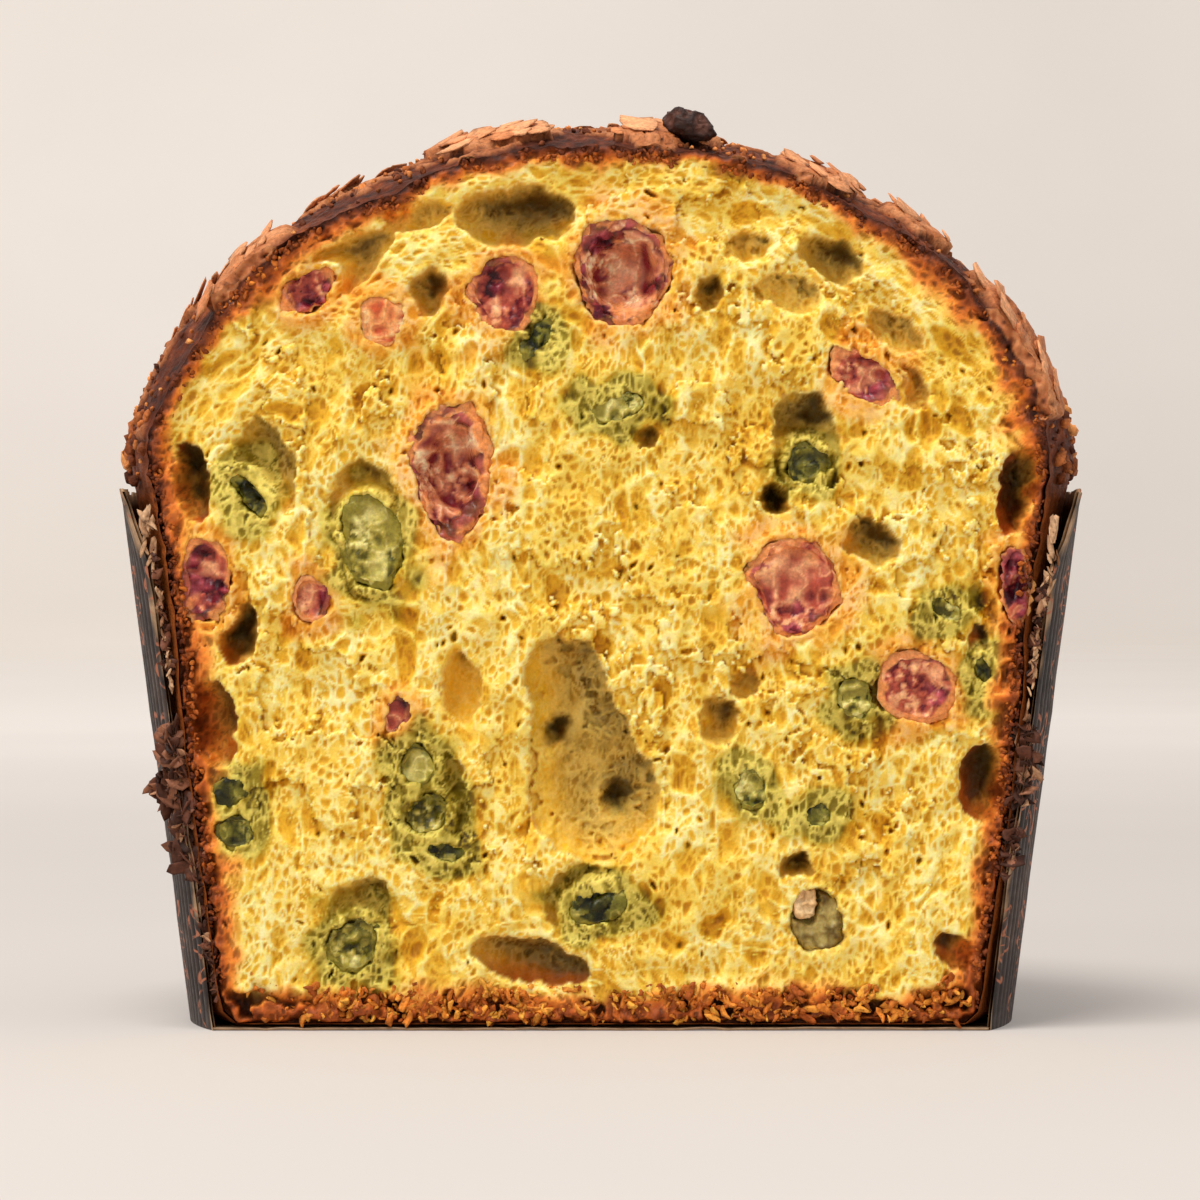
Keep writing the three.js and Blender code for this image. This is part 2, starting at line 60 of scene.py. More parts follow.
CASE_LOW, CASE_HIGH = map(in_mm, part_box("case"))
CUT = -CASE_LOW[1]
RIM_RADIUS = CASE_HIGH[1]
RIM_HEIGHT = CASE_HIGH[2]
BASE_RADIUS = 84.7
PAPER = 1.0
DOME_RADIUS = 96.5
DOME_BASE = 113.0
DOME_HEIGHT = 69.5
DOME_POWER = 1.86
FOOT = 1.35
MIDDLE = 88.0  # height of the point that the cut face is described around
AROUND_RADIUS = 90.0  # radius at which lengths round that point are true


# Repeatable randomness

AXIS_PRIMES = (73856093, 19349663, 83492791)
CHANNEL_PRIME = 2654435761
ROUNDS = ((16, 0x7FEB352D), (15, 0x846CA68B))  # shift and factor of each round of mixing


def random_bits(i, j, k, channel):
    """A 32-bit random number for each lattice point. Each channel has its own numbers."""
    n, j, k = (at.astype(np.uint32) * np.uint32(prime) for at, prime in zip((i, j, k), AXIS_PRIMES))
    n ^= j ^ k ^ np.uint32((channel * CHANNEL_PRIME + 97) & 0xFFFFFFFF)
    for shift, factor in ROUNDS:
        n ^= n >> np.uint32(shift)
        n *= np.uint32(factor)
    return n ^ n >> np.uint32(16)


def share_of(bits, shift=0):
    """A number from 0 to 1, from eight of the random bits."""
    return (bits >> np.uint32(shift) & np.uint32(255)) / 255


def seed_place(bits, axis):
    """Where a seed lies in its cell along an axis, from 0 to 1, from ten of its bits."""
    return (bits >> np.uint32(10 * axis) & np.uint32(1023)) / np.float32(1024)


def random_shares(i, j, k, channel):
    """A random number from 0 to 1 for each of the whole numbers."""
    return random_bits(*np.broadcast_arrays(i, j, k), channel) / 2.0**32


def lots(count, channel):
    """Random numbers from 0 to 1, three for each of a number of bits."""
    return random_shares(np.arange(count)[:, None], 0, np.arange(3), channel)


def smooth(low, high, value):
    t = np.clip((value - low) / (high - low), 0, 1)
    return t * t * (3 - 2 * t)


def mixed(a, b, share):
    return a + (b - a) * share


def lengths_of_one(ways):
    return ways / np.linalg.norm(ways, axis=1)[:, None].clip(1e-6)


def lattice_noise(x, y, z, size, corner):
    """Value noise from -1 to 1 with lumps of that size. corner gives a lattice point's number."""
    p = [np.asarray(v, np.float64) / size for v in (x, y, z)]
    low = [np.floor(v) for v in p]
    u, v, w = (t * t * (3 - 2 * t) for t in (a - b for a, b in zip(p, low)))
    total = 0
    for a, b, c in itertools.product((0, 1), repeat=3):
        share = (u if a else 1 - u) * (v if b else 1 - v) * (w if c else 1 - w)
        total = total + share * corner(low[0] + a, low[1] + b, low[2] + c)
    return 2 * total - 1


def noise(x, y, z, size, channel):
    def corner(i, j, k):
        whole = [a.astype(np.int64) for a in np.broadcast_arrays(i, j, k)]
        return random_bits(*whole, channel) / np.float32(2**32)

    return lattice_noise(x, y, z, size, corner)


def noise_of_solids(x, y, z, size):
    """The noise that shapes the crust of the solids."""
    def corner(i, j, k):
        s = np.sin(i * 127.1 + j * 311.7 + k * 74.7) * 43758.5453
        return s - np.floor(s)

    return lattice_noise(x, y, z, size, corner)


def rough(x, y, z, size, channel, octaves=3):
    """Noise of several sizes, each half as large and half as strong as the last."""
    layers = [noise(x, y, z, size / 2**n, channel + n) / 2**n for n in range(octaves)]
    return sum(layers) / (2 - 2.0 ** (1 - octaves))


def layered(x, y, z, *layers):
    """The sum of noises, each given by its strength, size and channel."""
    return sum(strength * noise(x, y, z, size, channel) for strength, size, channel in layers)


def seeds_near(x, y, z, channel, grain=None, stretch=1.0):
    """Distances to the nearest and second nearest seed of a foam with cells 1 across, and
    the nearest seed's random bits. The cells are drawn out along the grain by stretch."""
    x, y, z = (np.asarray(v, np.float32) for v in (x, y, z))
    cells = [np.floor(v).astype(np.int32) for v in (x, y, z)]
    first = np.full(x.shape, 9, np.float32)
    second = first.copy()
    own = np.zeros(x.shape, np.uint32)
    for offset in itertools.product((-1, 0, 1), repeat=3):
        i, j, k = (c + o for c, o in zip(cells, offset))
        bits = random_bits(i, j, k, channel)
        dx, dy, dz = (corner + seed_place(bits, axis) - v
                      for axis, (corner, v) in enumerate(zip((i, j, k), (x, y, z))))
        if grain is not None:
            along = (dx * grain[0] + dz * grain[1]) / stretch
            across = (dz * grain[0] - dx * grain[1]) * stretch
            dx, dz = along, across
        far = np.sqrt(dx * dx + dy * dy + dz * dz)
        closer = far < first
        second = np.where(closer, first, np.minimum(second, far))
        own = np.where(closer, bits, own)
        first = np.where(closer, far, first)
    return first, second, own


# Colours are given as they look on screen, and turned into light

def light(*rgb):
    c = np.array(rgb, float) / 255
    return np.where(c <= 0.04045, c / 12.92, ((c + 0.055) / 1.055) ** 2.4)


def blend_colours(a, b, share):
    return mixed(np.atleast_2d(a), np.atleast_2d(b), np.asarray(share)[:, None])


def shade_along(stops, value):
    """A colour for each value, between stops of (value, colour)."""
    places = [stop for stop, _ in stops]
    colours = np.array([colour for _, colour in stops])
    return np.stack([np.interp(value, places, colours[:, n]) for n in range(3)], 1)


def palette(*colours, at=None):
    """Stops for shade_along, evenly spread from 0 to 1 where at doesn't place them."""
    places = np.linspace(0, 1, len(colours)) if at is None else at
    return [(place, light(*rgb)) for place, rgb in zip(places, colours)]


# Meshes

def new_object(name, mesh, material):
    mesh.materials.append(material)
    piece = bpy.data.objects.new(name, mesh)
    bpy.context.scene.collection.objects.link(piece)
    return piece


def mesh_of(name, points, faces):
    """A mesh from points in millimetres and an array of faces with the same corners each."""
    mesh = bpy.data.meshes.new(name)
    corners = faces.shape[1]
    mesh.vertices.add(len(points))
    mesh.vertices.foreach_set("co", (points * MM).astype(np.float32).ravel())
    mesh.loops.add(faces.size)
    mesh.loops.foreach_set("vertex_index", faces.astype(np.int32).ravel())
    mesh.polygons.add(len(faces))
    starts = np.arange(0, faces.size, corners, dtype=np.int32)
    mesh.polygons.foreach_set("loop_start", starts)
    mesh.update(calc_edges=True)
    mesh.shade_smooth()
    return mesh


def set_colours(mesh, colours):
    layer = mesh.attributes.new("tint", "FLOAT_COLOR", "POINT")
    rgba = np.ones((len(mesh.vertices), 4), np.float32)
    rgba[:, :3] = colours
    layer.data.foreach_set("color", rgba.ravel())


def set_numbers(mesh, name, values):
    layer = mesh.attributes.new(name, "FLOAT", "POINT")
    layer.data.foreach_set("value", np.asarray(values, np.float32).ravel())


def numbers_of(mesh, name):
    values = np.zeros(len(mesh.vertices), np.float32)
    mesh.attributes[name].data.foreach_get("value", values)
    return values


def points_of(mesh):
    flat = np.zeros(3 * len(mesh.vertices), np.float32)
    mesh.vertices.foreach_get("co", flat)
    return flat.reshape(-1, 3).astype(float) / MM


def set_points(mesh, points):
    mesh.vertices.foreach_set("co", (points * MM).astype(np.float32).ravel())
    mesh.update()


def normals_of(mesh):
    flat = np.zeros(3 * len(mesh.vertices), np.float32)
    mesh.vertices.foreach_get("normal", flat)
    return flat.reshape(-1, 3).astype(float)


def set_map(mesh, places):
    """The map that the surface is painted on, from one place in the unit square per corner."""
    layer = mesh.uv_layers.new(name="OFBake")
    layer.data.foreach_set("uv", places.astype(np.float32).ravel())


def corner_vertices(mesh):
    found = np.zeros(len(mesh.loops), np.int32)
    mesh.loops.foreach_get("vertex_index", found)
    return found


def grid_faces(rows, columns, closed=False):
    """Quads of a grid, row by row, and each corner's row and column, for its map."""
    last = columns if closed else columns - 1
    j, i = np.meshgrid(np.arange(rows - 1), np.arange(last), indexing="ij")
    j, i = j.ravel(), i.ravel()
    row = np.stack([j, j, j + 1, j + 1], 1)
    column = np.stack([i, i + 1, i + 1, i], 1)
    return row * columns + column % columns, row, column


def add_piece(name, mesh, material, node):
    """A piece of the dressed loaf, in the place of a node's solid."""
    piece = new_object(name, mesh, material)
    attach(piece, BODY)
    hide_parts(node)


# Materials

class Look:
    """A node material built round one Principled shader."""

    def __init__(self, name, **sockets):
        self.material = bpy.data.materials.new(name)
        self.material.use_nodes = True
        self.tree = self.material.node_tree
        self.shader = self.tree.nodes["Principled BSDF"]
        for socket, value in sockets.items():
            self.shader.inputs[socket.replace("_", " ")].default_value = value

    def node(self, kind, inputs=(), **settings):
        made = self.tree.nodes.new(kind)
        for key, value in settings.items():
            setattr(made, key, value)
        for socket, value in dict(inputs).items():
            self.feed(made.inputs[socket], value)
        return made

    def feed(self, socket, value):
        if isinstance(value, bpy.types.NodeSocket):
            self.tree.links.new(value, socket)
        else:
            socket.default_value = value

    def math(self, operation, a, b=0.0):
        return self.node("ShaderNodeMath", {0: a, 1: b}, operation=operation).outputs[0]

    def attribute(self, name, output="Color"):
        return self.node("ShaderNodeAttribute", attribute_name=name).outputs[output]

    def place(self):
        return self.node("ShaderNodeTexCoord").outputs["Object"]

    def noise(self, size, detail=3.0):
        """Noise with lumps of a size in millimetres, about 0.5."""
        inputs = {"Vector": self.place(), "Scale": 1 / (size * MM),
                  "Detail": detail, "Roughness": 0.55}
        return self.node("ShaderNodeTexNoise", inputs).outputs["Fac"]

    def cells(self, size):
        """Distance from the middles of cells of a size in millimetres."""
        inputs = {"Vector": self.place(), "Scale": 1 / (size * MM)}
        return self.node("ShaderNodeTexVoronoi", inputs).outputs["Distance"]

    def range(self, value, low, high, to_low=0.0, to_high=1.0):
        inputs = {"Value": value, "From Min": low, "From Max": high,
                  "To Min": to_low, "To Max": to_high}
        return self.node("ShaderNodeMapRange", inputs).outputs["Result"]

    def mix(self, share, a, b, blend="MIX"):
        made = self.node("ShaderNodeMix", data_type="RGBA", blend_type=blend)
        for socket, value in zip((0, 6, 7), (share, a, b)):
            self.feed(made.inputs[socket], value)
        return made.outputs[2]

    def scaled(self, tint, by):
        """The tint times a number."""
        grey = self.node("ShaderNodeCombineColor", {"Red": by, "Green": by, "Blue": by})
        return self.mix(1.0, tint, grey.outputs["Color"], "MULTIPLY")

    def varied(self, size, dark, bright):
        """The painted tint, made darker and brighter by noise of a size."""
        by = self.range(self.noise(size), 0.3, 0.7, dark, bright)
        return self.scaled(self.attribute("tint"), by)

    def colour(self, value):
        self.feed(self.shader.inputs["Base Color"], value)

    def roughness(self, size, low, high):
        """Shine that changes between two values of roughness, by noise of a size."""
        value = self.range(self.noise(size), 0.3, 0.7, low, high)
        self.feed(self.shader.inputs["Roughness"], value)

    def bump(self, height, depth, strength):
        """Relief of a depth in millimetres."""
        inputs = {"Height": height, "Distance": depth * MM, "Strength": strength}
        made = self.node("ShaderNodeBump", inputs)
        self.feed(self.shader.inputs["Normal"], made.outputs["Normal"])


def crumb_look():
    """Soft crumb that lets some light in."""
    look = Look("crumb", Subsurface_Weight=0.5, Subsurface_Scale=0.0018,
                Subsurface_Radius=(1.0, 0.62, 0.22), Specular_IOR_Level=0.22)
    look.colour(look.varied(0.7, 0.92, 1.1))
    look.roughness(3.0, 0.42, 0.75)
    look.bump(look.noise(0.45, 2.0), 0.25, 0.7)
    return look.material


def crust_look():
    """Dry browned crust and glaze with fine pits painted in as dark spots of shade."""
    look = Look("crust", Specular_IOR_Level=0.2)
    # Painted shade of fine pits, as dark spots
    pits = look.range(look.cells(0.9), 0.08, 0.3, 0.55, 1.0)
    look.colour(look.scaled(look.varied(0.9, 0.72, 1.25), pits))
    look.roughness(1.5, 0.45, 0.8)
    look.bump(look.noise(0.6, 4.0), 0.5, 0.8)
    return look.material


def fruit_look(name, wet):
    """Moist candied fruit that lets some light in."""
    look = Look(name, Subsurface_Weight=0.5, Subsurface_Scale=0.002,
                Subsurface_Radius=(1.0, 0.5, 0.2), Specular_IOR_Level=0.2,
                Coat_Weight=wet, Coat_Roughness=0.12)
    look.colour(look.varied(0.8, 0.75, 1.2))
    look.roughness(1.2, 0.16, 0.45)
    look.bump(look.noise(0.5, 3.0), 0.2, 0.8)
    return look.material


def dry_look(name, rough_low, rough_high, relief):
    """Raisin skin, nut and torn paper."""
    look = Look(name, Specular_IOR_Level=0.22)
    look.colour(look.varied(0.9, 0.7, 1.25))
    look.roughness(1.2, rough_low, rough_high)
    look.bump(look.noise(0.6, 4.0), relief, 0.8)
    return look.material


# The crust, from the foot of the bread to the top of the dome

CRUST_COLUMNS = 640
CRUST_PITCH = 0.85
CRUST_FOOT = [(0.5, 14), (46, 6)]  # radius, and how far apart the rows are from there on
FOOT_CORNER = (3, 1.5)  # gap to the paper and spacing where the foot turns up
CRUST_SIDE = [
    # height, gap to the paper, and how far apart the rows are from there on
    (FOOT + 2.5, 0.6, 5), (22, 0.55, 5), (44, 0.65, 4), (64, 0.9, 3), (84, 2.5, 1.2), (98, 2.1, 1.0),
]
GLAZE = ((80, 36, 18), (182, 106, 60), (216, 144, 94))
GLAZE_TONES = palette(*GLAZE, at=(0.0, 0.45, 1.0))
CUT_GLAZE_TONES = palette(*GLAZE, at=(0.2, 0.5, 0.9))
CRUST_TONES = palette((50, 21, 12), (104, 46, 21), (166, 84, 36))
CRUST_ORANGE = light(196, 104, 40)


def case_outer(z):
    """Outer radius of the case at a height."""
    return BASE_RADIUS + (RIM_RADIUS - BASE_RADIUS) * np.asarray(z, float) / RIM_HEIGHT


def dome_reach(across, up):
    """How far the dome lies from the middle of its base, along a direction of length 1."""
    share = (across / DOME_RADIUS) ** DOME_POWER + (up / DOME_HEIGHT) ** DOME_POWER
    return share ** (-1 / DOME_POWER)


def crust_profile():
    """Radius and height of the crust before its relief, from the middle of the foot up."""
    corner_gap, corner_pitch = FOOT_CORNER
    stations = [(radius, FOOT, pitch) for radius, pitch in CRUST_FOOT]
    stations.append((case_outer(0) - PAPER - corner_gap, FOOT, corner_pitch))
    stations += [(case_outer(z) - PAPER - gap, z, pitch) for z, gap, pitch in CRUST_SIDE]
    ends = stations[1:] + [(DOME_RADIUS, DOME_BASE, 0)]
    points = []
    for (*here, pitch), (*there, _) in zip(stations, ends):
        steps = max(1, round(math.dist(here, there) / pitch))
        points += [mixed(np.array(here), np.array(there), n / steps) for n in range(steps)]
    steps = round(1.3 * DOME_RADIUS / CRUST_PITCH)
    for n in range(steps):
        angle = n / steps * math.pi / 2
        reach = dome_reach(math.cos(angle), math.sin(angle))
        points.append((reach * math.cos(angle), DOME_BASE + reach * math.sin(angle)))
    return np.array(points)


def tree_of(*nodes):
    """The solids of some nodes, ready to be met by rays."""
    points, faces = [], []
    for node in nodes:
        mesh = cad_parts[node].data
        faces += [tuple(v + len(points) for v in p.vertices) for p in mesh.polygons]
        points += [Vector(p) for p in points_of(mesh)]
    return BVHTree.FromPolygons(points, faces)


def rise_over(tree, points, outward, start=14.0):
    """How far the solid stands above each point, along its outward direction."""
    rise = np.zeros(len(points))
    for n, (p, d) in enumerate(zip(points, outward)):
        way = Vector(d)
        hit = tree.ray_cast(Vector(p) + way * start, -way, 2 * start)
        if hit[0] is not None:
            rise[n] = start - hit[3]
    return rise


def away_from_dome(points):
    """The direction that the crust swells in: from the dome's middle, and level below it."""
    away = points.copy()
    away[:, 2] = np.maximum(0, away[:, 2] - DOME_BASE)
    return lengths_of_one(away)


def behind_cut(points):
    """The points, with those in front of the cut slid round to it at their own radius."""
    x, y, z = points.T
    radius = np.hypot(x, y)
    kept = np.maximum(y, -CUT + 0.5)
    side = np.sign(x + 1e-9) * np.sqrt(np.maximum(radius**2 - kept**2, 0))
    return np.where((y < kept)[:, None], np.stack([side, kept, z], 1), points)


def crust_relief(points, tree):
    """How far the crust swells out at each point, and the fields that colour it."""
    x, y, z = points.T
    free = smooth(RIM_HEIGHT - 14, DOME_BASE + 6, z)
    lumps = 0.9 * noise_of_solids(x, y, z, 17) + 0.5 * noise_of_solids(x, y, z, 7)
    held = -0.25 * (1 + noise_of_solids(x, y, z, 21))
    swell = free * lumps + (1 - free) * held
    away = away_from_dome(points)
    skin = points + away * swell[:, None]
    open_air = z > RIM_HEIGHT - 4
    rise = np.zeros(len(points))
    placed = behind_cut(skin[open_air])
    rise[open_air] = rise_over(tree, placed, away_from_dome(placed))
    ragged = layered(x, y, z, (0.55, 4.5, 11), (0.4, 1.7, 12))
    glaze = smooth(0.75, 1.35, rise + ragged) * open_air
    thin = smooth(0.28, 0.4, layered(x, y, z, (1, 10, 13), (0.5, 3, 14)))
    thin *= (1 - glaze) * smooth(RIM_HEIGHT, DOME_BASE + 8, z)
    crags = 0.75 * np.abs(noise(x, y, z, 4.2, 15)) + 0.5 * np.abs(noise(x, y, z, 1.9, 16))
    bubbles, _, _ = seeds_near(x / 1.9, y / 1.9, z / 1.9, 17)
    pitted = -0.55 * smooth(0.38, 0.05, bubbles)
    creases = layered(x, y, z, (1, 9, 18), (0.25, 2.5, 19))
    cracks = -0.9 * smooth(0.05, 0.0, np.abs(creases))
    rest = free * (0.35 - crags) + thin * (0.8 + pitted) - 0.9 * (1 - free) * crags
    top = np.clip(rise, 1.6, 3.2) + 0.45 * noise(x, y, z, 3.2, 20) + pitted + cracks
    marks = {"glaze": glaze, "thin": thin, "free": free, "crags": crags, "bubbles": bubbles}
    return swell + mixed(rest, top, glaze), marks


def crust_colours(points, glaze, thin, free, crags, bubbles):
    """Brown skin, more orange where the case held it, under pale almond glaze."""
    x, y, z = points.T
    tone = 0.5 + 0.5 * rough(x, y, z, 8, 21) + 0.35 * noise(x, y, z, 1.6, 22)
    # Painted shade: the skin darker where its crags sink in, the glaze darker in its pits
    skin = shade_along(CRUST_TONES, tone - 0.25 * crags)
    almond = shade_along(GLAZE_TONES, tone + 0.15 - 0.8 * smooth(0.3, 0.05, bubbles))
    colours = blend_colours(skin, CRUST_ORANGE * (0.3 + 0.7 * tone)[:, None], (1 - free) * 0.75)
    return blend_colours(colours, almond, np.clip(glaze + 0.8 * thin, 0, 1))


def make_crust(tree):
    """Makes the whole skin of the bread, cut by the knife, and gives its outline there."""
    profile = crust_profile()
    rows, columns = len(profile), CRUST_COLUMNS
    around = np.arange(columns) / columns * 2 * np.pi
    radius, height = (np.repeat(v, columns) for v in profile.T)
    turn = np.tile(around, rows)
    points = np.stack([radius * np.sin(turn), -radius * np.cos(turn), height], 1)
    swell, marks = crust_relief(points, tree)
    fade = np.maximum(smooth(6, 20, radius), height > DOME_BASE)
    shaped = points + away_from_dome(points) * (swell * fade)[:, None]
    faces, row, column = grid_faces(rows, columns, closed=True)
    mesh = mesh_of("crust", shaped, faces)
    set_colours(mesh, crust_colours(points, **marks))
    set_numbers(mesh, "glaze", np.clip(2.6 * marks["glaze"] + 0.8 * marks["thin"], 0, 4))
    set_map(mesh, np.stack([column / columns, row / (rows - 1)], 2).reshape(-1, 2))
    outline = cut_and_cap(mesh, rows, columns)
    add_piece("crust", mesh, crust_look(), "bread")
    return outline


def cut_and_cap(mesh, rows, columns):
    """Cuts a turned skin at the knife, closes its ends, and returns the cut's outline: rows
    of the angle round MIDDLE, the distance from it and how thick the glaze is."""
    form = bmesh.new()
    form.from_mesh(mesh)
    form.verts.ensure_lookup_table()
    form.faces.new(form.verts[:columns][::-1])
    form.faces.new(form.verts[(rows - 1) * columns:])
    everything = form.verts[:] + form.edges[:] + form.faces[:]
    bmesh.ops.bisect_plane(form, geom=everything, plane_co=(0, -CUT * MM, 0),
                           plane_no=(0, -1, 0), clear_outer=True)
    form.to_mesh(mesh)
    form.free()
    points = points_of(mesh)
    edge = np.abs(points[:, 1] + CUT) < 1e-3
    x, z = points[edge][:, 0], points[edge][:, 2]
    outline = np.stack([np.arctan2(z - MIDDLE, x), np.hypot(x, z - MIDDLE),
                        numbers_of(mesh, "glaze")[edge]], 1)
    return outline[np.argsort(outline[:, 0])]


def along_outline(outline, angle):
    """How far the cut's outline lies from MIDDLE at each angle, and its glaze there."""
    return [np.interp(angle, outline[:, 0], outline[:, n], period=2 * np.pi) for n in (1, 2)]


# The cut face

FACE_PITCH = 0.36
FACE_TOP = DOME_BASE + DOME_HEIGHT + 8
COARSE_PITCH = 0.5
OPEN_DEPTH = 60.0  # depth given to what has no solid behind it
CREEP_CELLS = 5  # coarse steps round a piece of fruit over which the crumb rises to its front
BURIED = 0.9  # depth of the crumb behind the front of a fruit, at its edge
DEEP_BURIED = 6.5  # and in its middle
CELLS = [
    # size of the cells, share that the knife opened, hollow as a share of the size, wall
    (1.75, 0.94, 0.46, 0.3),
    (3.2, 0.4, 0.4, 0.34),
    (6.0, 0.2, 0.34, 0.4),
]

CRUMB_TONES = palette((168, 106, 12), (212, 148, 22), (236, 184, 44), (250, 216, 98),
                      (255, 240, 172))
# Painted highlight on the rims of the holes
RIM_HIGHLIGHT_TONE = light(255, 234, 152)
WEB_TONE = light(244, 212, 112)
# Painted shade in the holes and in the brown pockets beside the crust: darker by how deep the point
# lies behind the cut
HOLE_SHADE_TONES = palette((242, 188, 40), (224, 168, 34), (178, 132, 30), (112, 76, 14), (58, 36, 8),
                     (16, 9, 3), at=(0, 3, 6, 9, 12, 15))
POCKET_SHADE_TONES = palette((196, 96, 24), (140, 56, 14), (78, 24, 9), (20, 6, 4), at=(1, 3, 6, 10))
# By how far the point lies inside the crust
EDGE_TONES = palette((62, 26, 13), (108, 48, 18), (168, 84, 28), (212, 124, 44), (234, 162, 62),
                     (240, 190, 70), at=(0.0, 1.4, 3.0, 4.8, 6.6, 8.5))
# Round green fruit, by the tone of the crumb
MEMBRANE_TONES = palette((46, 42, 5), (138, 122, 26), (238, 216, 108), at=(0.1, 0.5, 0.95))
STAIN_TONES = {"red": light(250, 166, 128), "green": light(212, 206, 118)}
STAIN_REACH = {"red": 1.8, "green": 2.8}
STEP_IN = 2.2  # how far the wall of a hole falls away at its rim
SLOPE_REACH = 1.6  # how far to either side the slope of a hole's wall is felt
# The left wall of the middle hole, made lighter as a painted highlight: x where it starts and is
# full, height and reach
PAINTED_LIT_WALL = (-4.0, -15.0, 56.0, 22.0)
GRAIN_START = 70  # height from which the crumb's cells fan out
GRAIN_FULL = 130
WEBS = [
    # size of the openings between the webs, width of a web, and how much of it shows
    (4.6, 0.16, 0.8), (2.3, 0.26, 0.7),
]


def looked_at(tree, xs, zs):
    """How far behind the cut a solid is first met from the front, or OPEN_DEPTH."""
    depth = np.full((len(zs), len(xs)), OPEN_DEPTH)
    way = Vector((0, 1, 0))
    for j, z in enumerate(zs):
        for i, x in enumerate(xs):
            hit = tree.ray_cast(Vector((x, -CUT - 5, z)), way, OPEN_DEPTH)
            if hit[0] is not None:
                depth[j, i] = hit[0].y + CUT
    return depth


def shifted(field, axis):
    """The field as its neighbours on either side see it along an axis."""
    padded = np.pad(field, [(1, 1) if a == axis else (0, 0) for a in (0, 1)], "edge")
    return [np.take(padded, np.arange(n, n + field.shape[axis]), axis) for n in range(3)]


def blurred(field, times):
    for axis in (0, 1) * times:
        low, mid, high = shifted(field, axis)
        field = (low + 2 * mid + high) / 4
    return field


def spread_least(field, times):
    for axis in (0, 1) * times:
        field = np.minimum.reduce(shifted(field, axis))
    return field


class BehindCut:
    """What the solids hold behind the cut, on a coarse grid over the face."""

    def __init__(self):
        xs = np.arange(-RIM_RADIUS, RIM_RADIUS, COARSE_PITCH)
        zs = np.arange(0, FACE_TOP, COARSE_PITCH)
        self.x0, self.z0 = xs[0], zs[0]
        bread = looked_at(tree_of("bread"), xs, zs)
        bread[bread >= OPEN_DEPTH] = 0
        fruit = looked_at(tree_of(*fruit_nodes()), xs, zs)
        seen = fruit < bread + BURIED
        covered = seen.astype(float)
        near = spread_least(np.where(seen, fruit, OPEN_DEPTH), CREEP_CELLS)
        middle = smooth(0.75, 1.0, blurred(covered, 6))
        base = np.where(seen, fruit + mixed(BURIED, DEEP_BURIED, middle), bread)
        base = np.minimum(base, near + 0.1 + 7 * middle)
        hollow = blurred((base > 1.4).astype(float), 1)
        inside_holes = blurred(base, 4)
        self.fields = {
            "depth": mixed(blurred(base, 1), inside_holes, smooth(1.6, 3.6, inside_holes)),
            "fruit": blurred(covered, 4),
            "close": smooth(0.03, 0.35, blurred(covered, 24)),
            "within": blurred(covered, 12),
            "lip": blurred(hollow, 6) * (1 - hollow),
        }

    def at(self, name, x, z):
        """A field's value at points of the face."""
        field = self.fields[name]
        u = np.clip((x - self.x0) / COARSE_PITCH, 0, field.shape[1] - 1.001)
        v = np.clip((z - self.z0) / COARSE_PITCH, 0, field.shape[0] - 1.001)
        i, j = u.astype(int), v.astype(int)
        u, v = u - i, v - j
        return ((1 - v) * ((1 - u) * field[j, i] + u * field[j, i + 1])
                + v * ((1 - u) * field[j + 1, i] + u * field[j + 1, i + 1]))

    def slope(self, x, z, right, up):
        """How much deeper it is that far to the right and up than as far the other way."""
        return self.at("depth", x + right, z + up) - self.at("depth", x - right, z - up)


def fruit_nodes():
    """The nodes of all that is set in the cut face."""
    return [name for name in sorted(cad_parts)
            if name.split("_")[0] in ("red", "green", "raisin", "nut") and name != "raisin_top"]


def crumb_grain(x, z, edge):
    """The way that the crumb's cells are drawn out: along the crust near it, upright inside."""
    up = smooth(GRAIN_START, GRAIN_FULL, z)
    nx, nz = x / DOME_RADIUS, up * (z - GRAIN_START) / 90 + 0.05
    nx, nz = nx + 0.25 * noise(x, 0, z, 30, 31), nz + 0.25 * noise(x, 0, z, 30, 32)
    long = np.hypot(nx, nz).clip(1e-3)
    near = smooth(32, 8, edge)
    ax, az = mixed(0.15 * noise(x, 0, z, 25, 33), -nz / long, near), mixed(1.0, nx / long, near)
    long = np.hypot(ax, az).clip(1e-3)
    return (ax / long).astype(np.float32), (az / long).astype(np.float32), near


def foam(x, y, z, grain, stretch):
    """How deep the knife opened the cells at each point, and how near it is to a wall."""
    bend_x = layered(x, y, z, (0.55, 2.1, 34), (1.1, 8, 35))
    bend_z = layered(x, y, z, (0.55, 2.1, 36), (1.1, 8, 37))
    depth = np.zeros(len(x))
    wall = np.zeros(len(x))
    for channel, (size, share, hollow, thick) in enumerate(CELLS):
        first, second, own = seeds_near((x + bend_x) / size, y / size, (z + bend_z) / size,
                                        40 + channel, grain, stretch)
        is_open = share_of(own) < share
        lot = share_of(own, 8)
        gap = np.minimum(second - first, 1.4 * (0.8 - first))
        inside = (gap * size - thick * (0.6 + 0.8 * lot)) / 2
        bowl = 1 - (1 - np.clip(inside / (0.24 * size), 0, 1)) ** 2
        bowl = bowl * size * hollow * (0.3 + 0.7 * lot**2) * is_open
        line = np.where(is_open, smooth(0.12, -0.06, inside), 0.45)
        into = smooth(0.0, 0.3, inside) * is_open
        if channel:
            rim = smooth(0.3, 0.05, np.abs(inside)) * is_open
            depth = bowl + depth * (1 - 0.45 * into)
            wall = np.maximum(wall * (1 - 0.35 * into), rim)
        else:
            pinholes = into * smooth(0.2, 0.4, inside) * (lot > 0.93)
            depth, wall = bowl + 1.2 * pinholes, line
    return depth, wall, pinholes


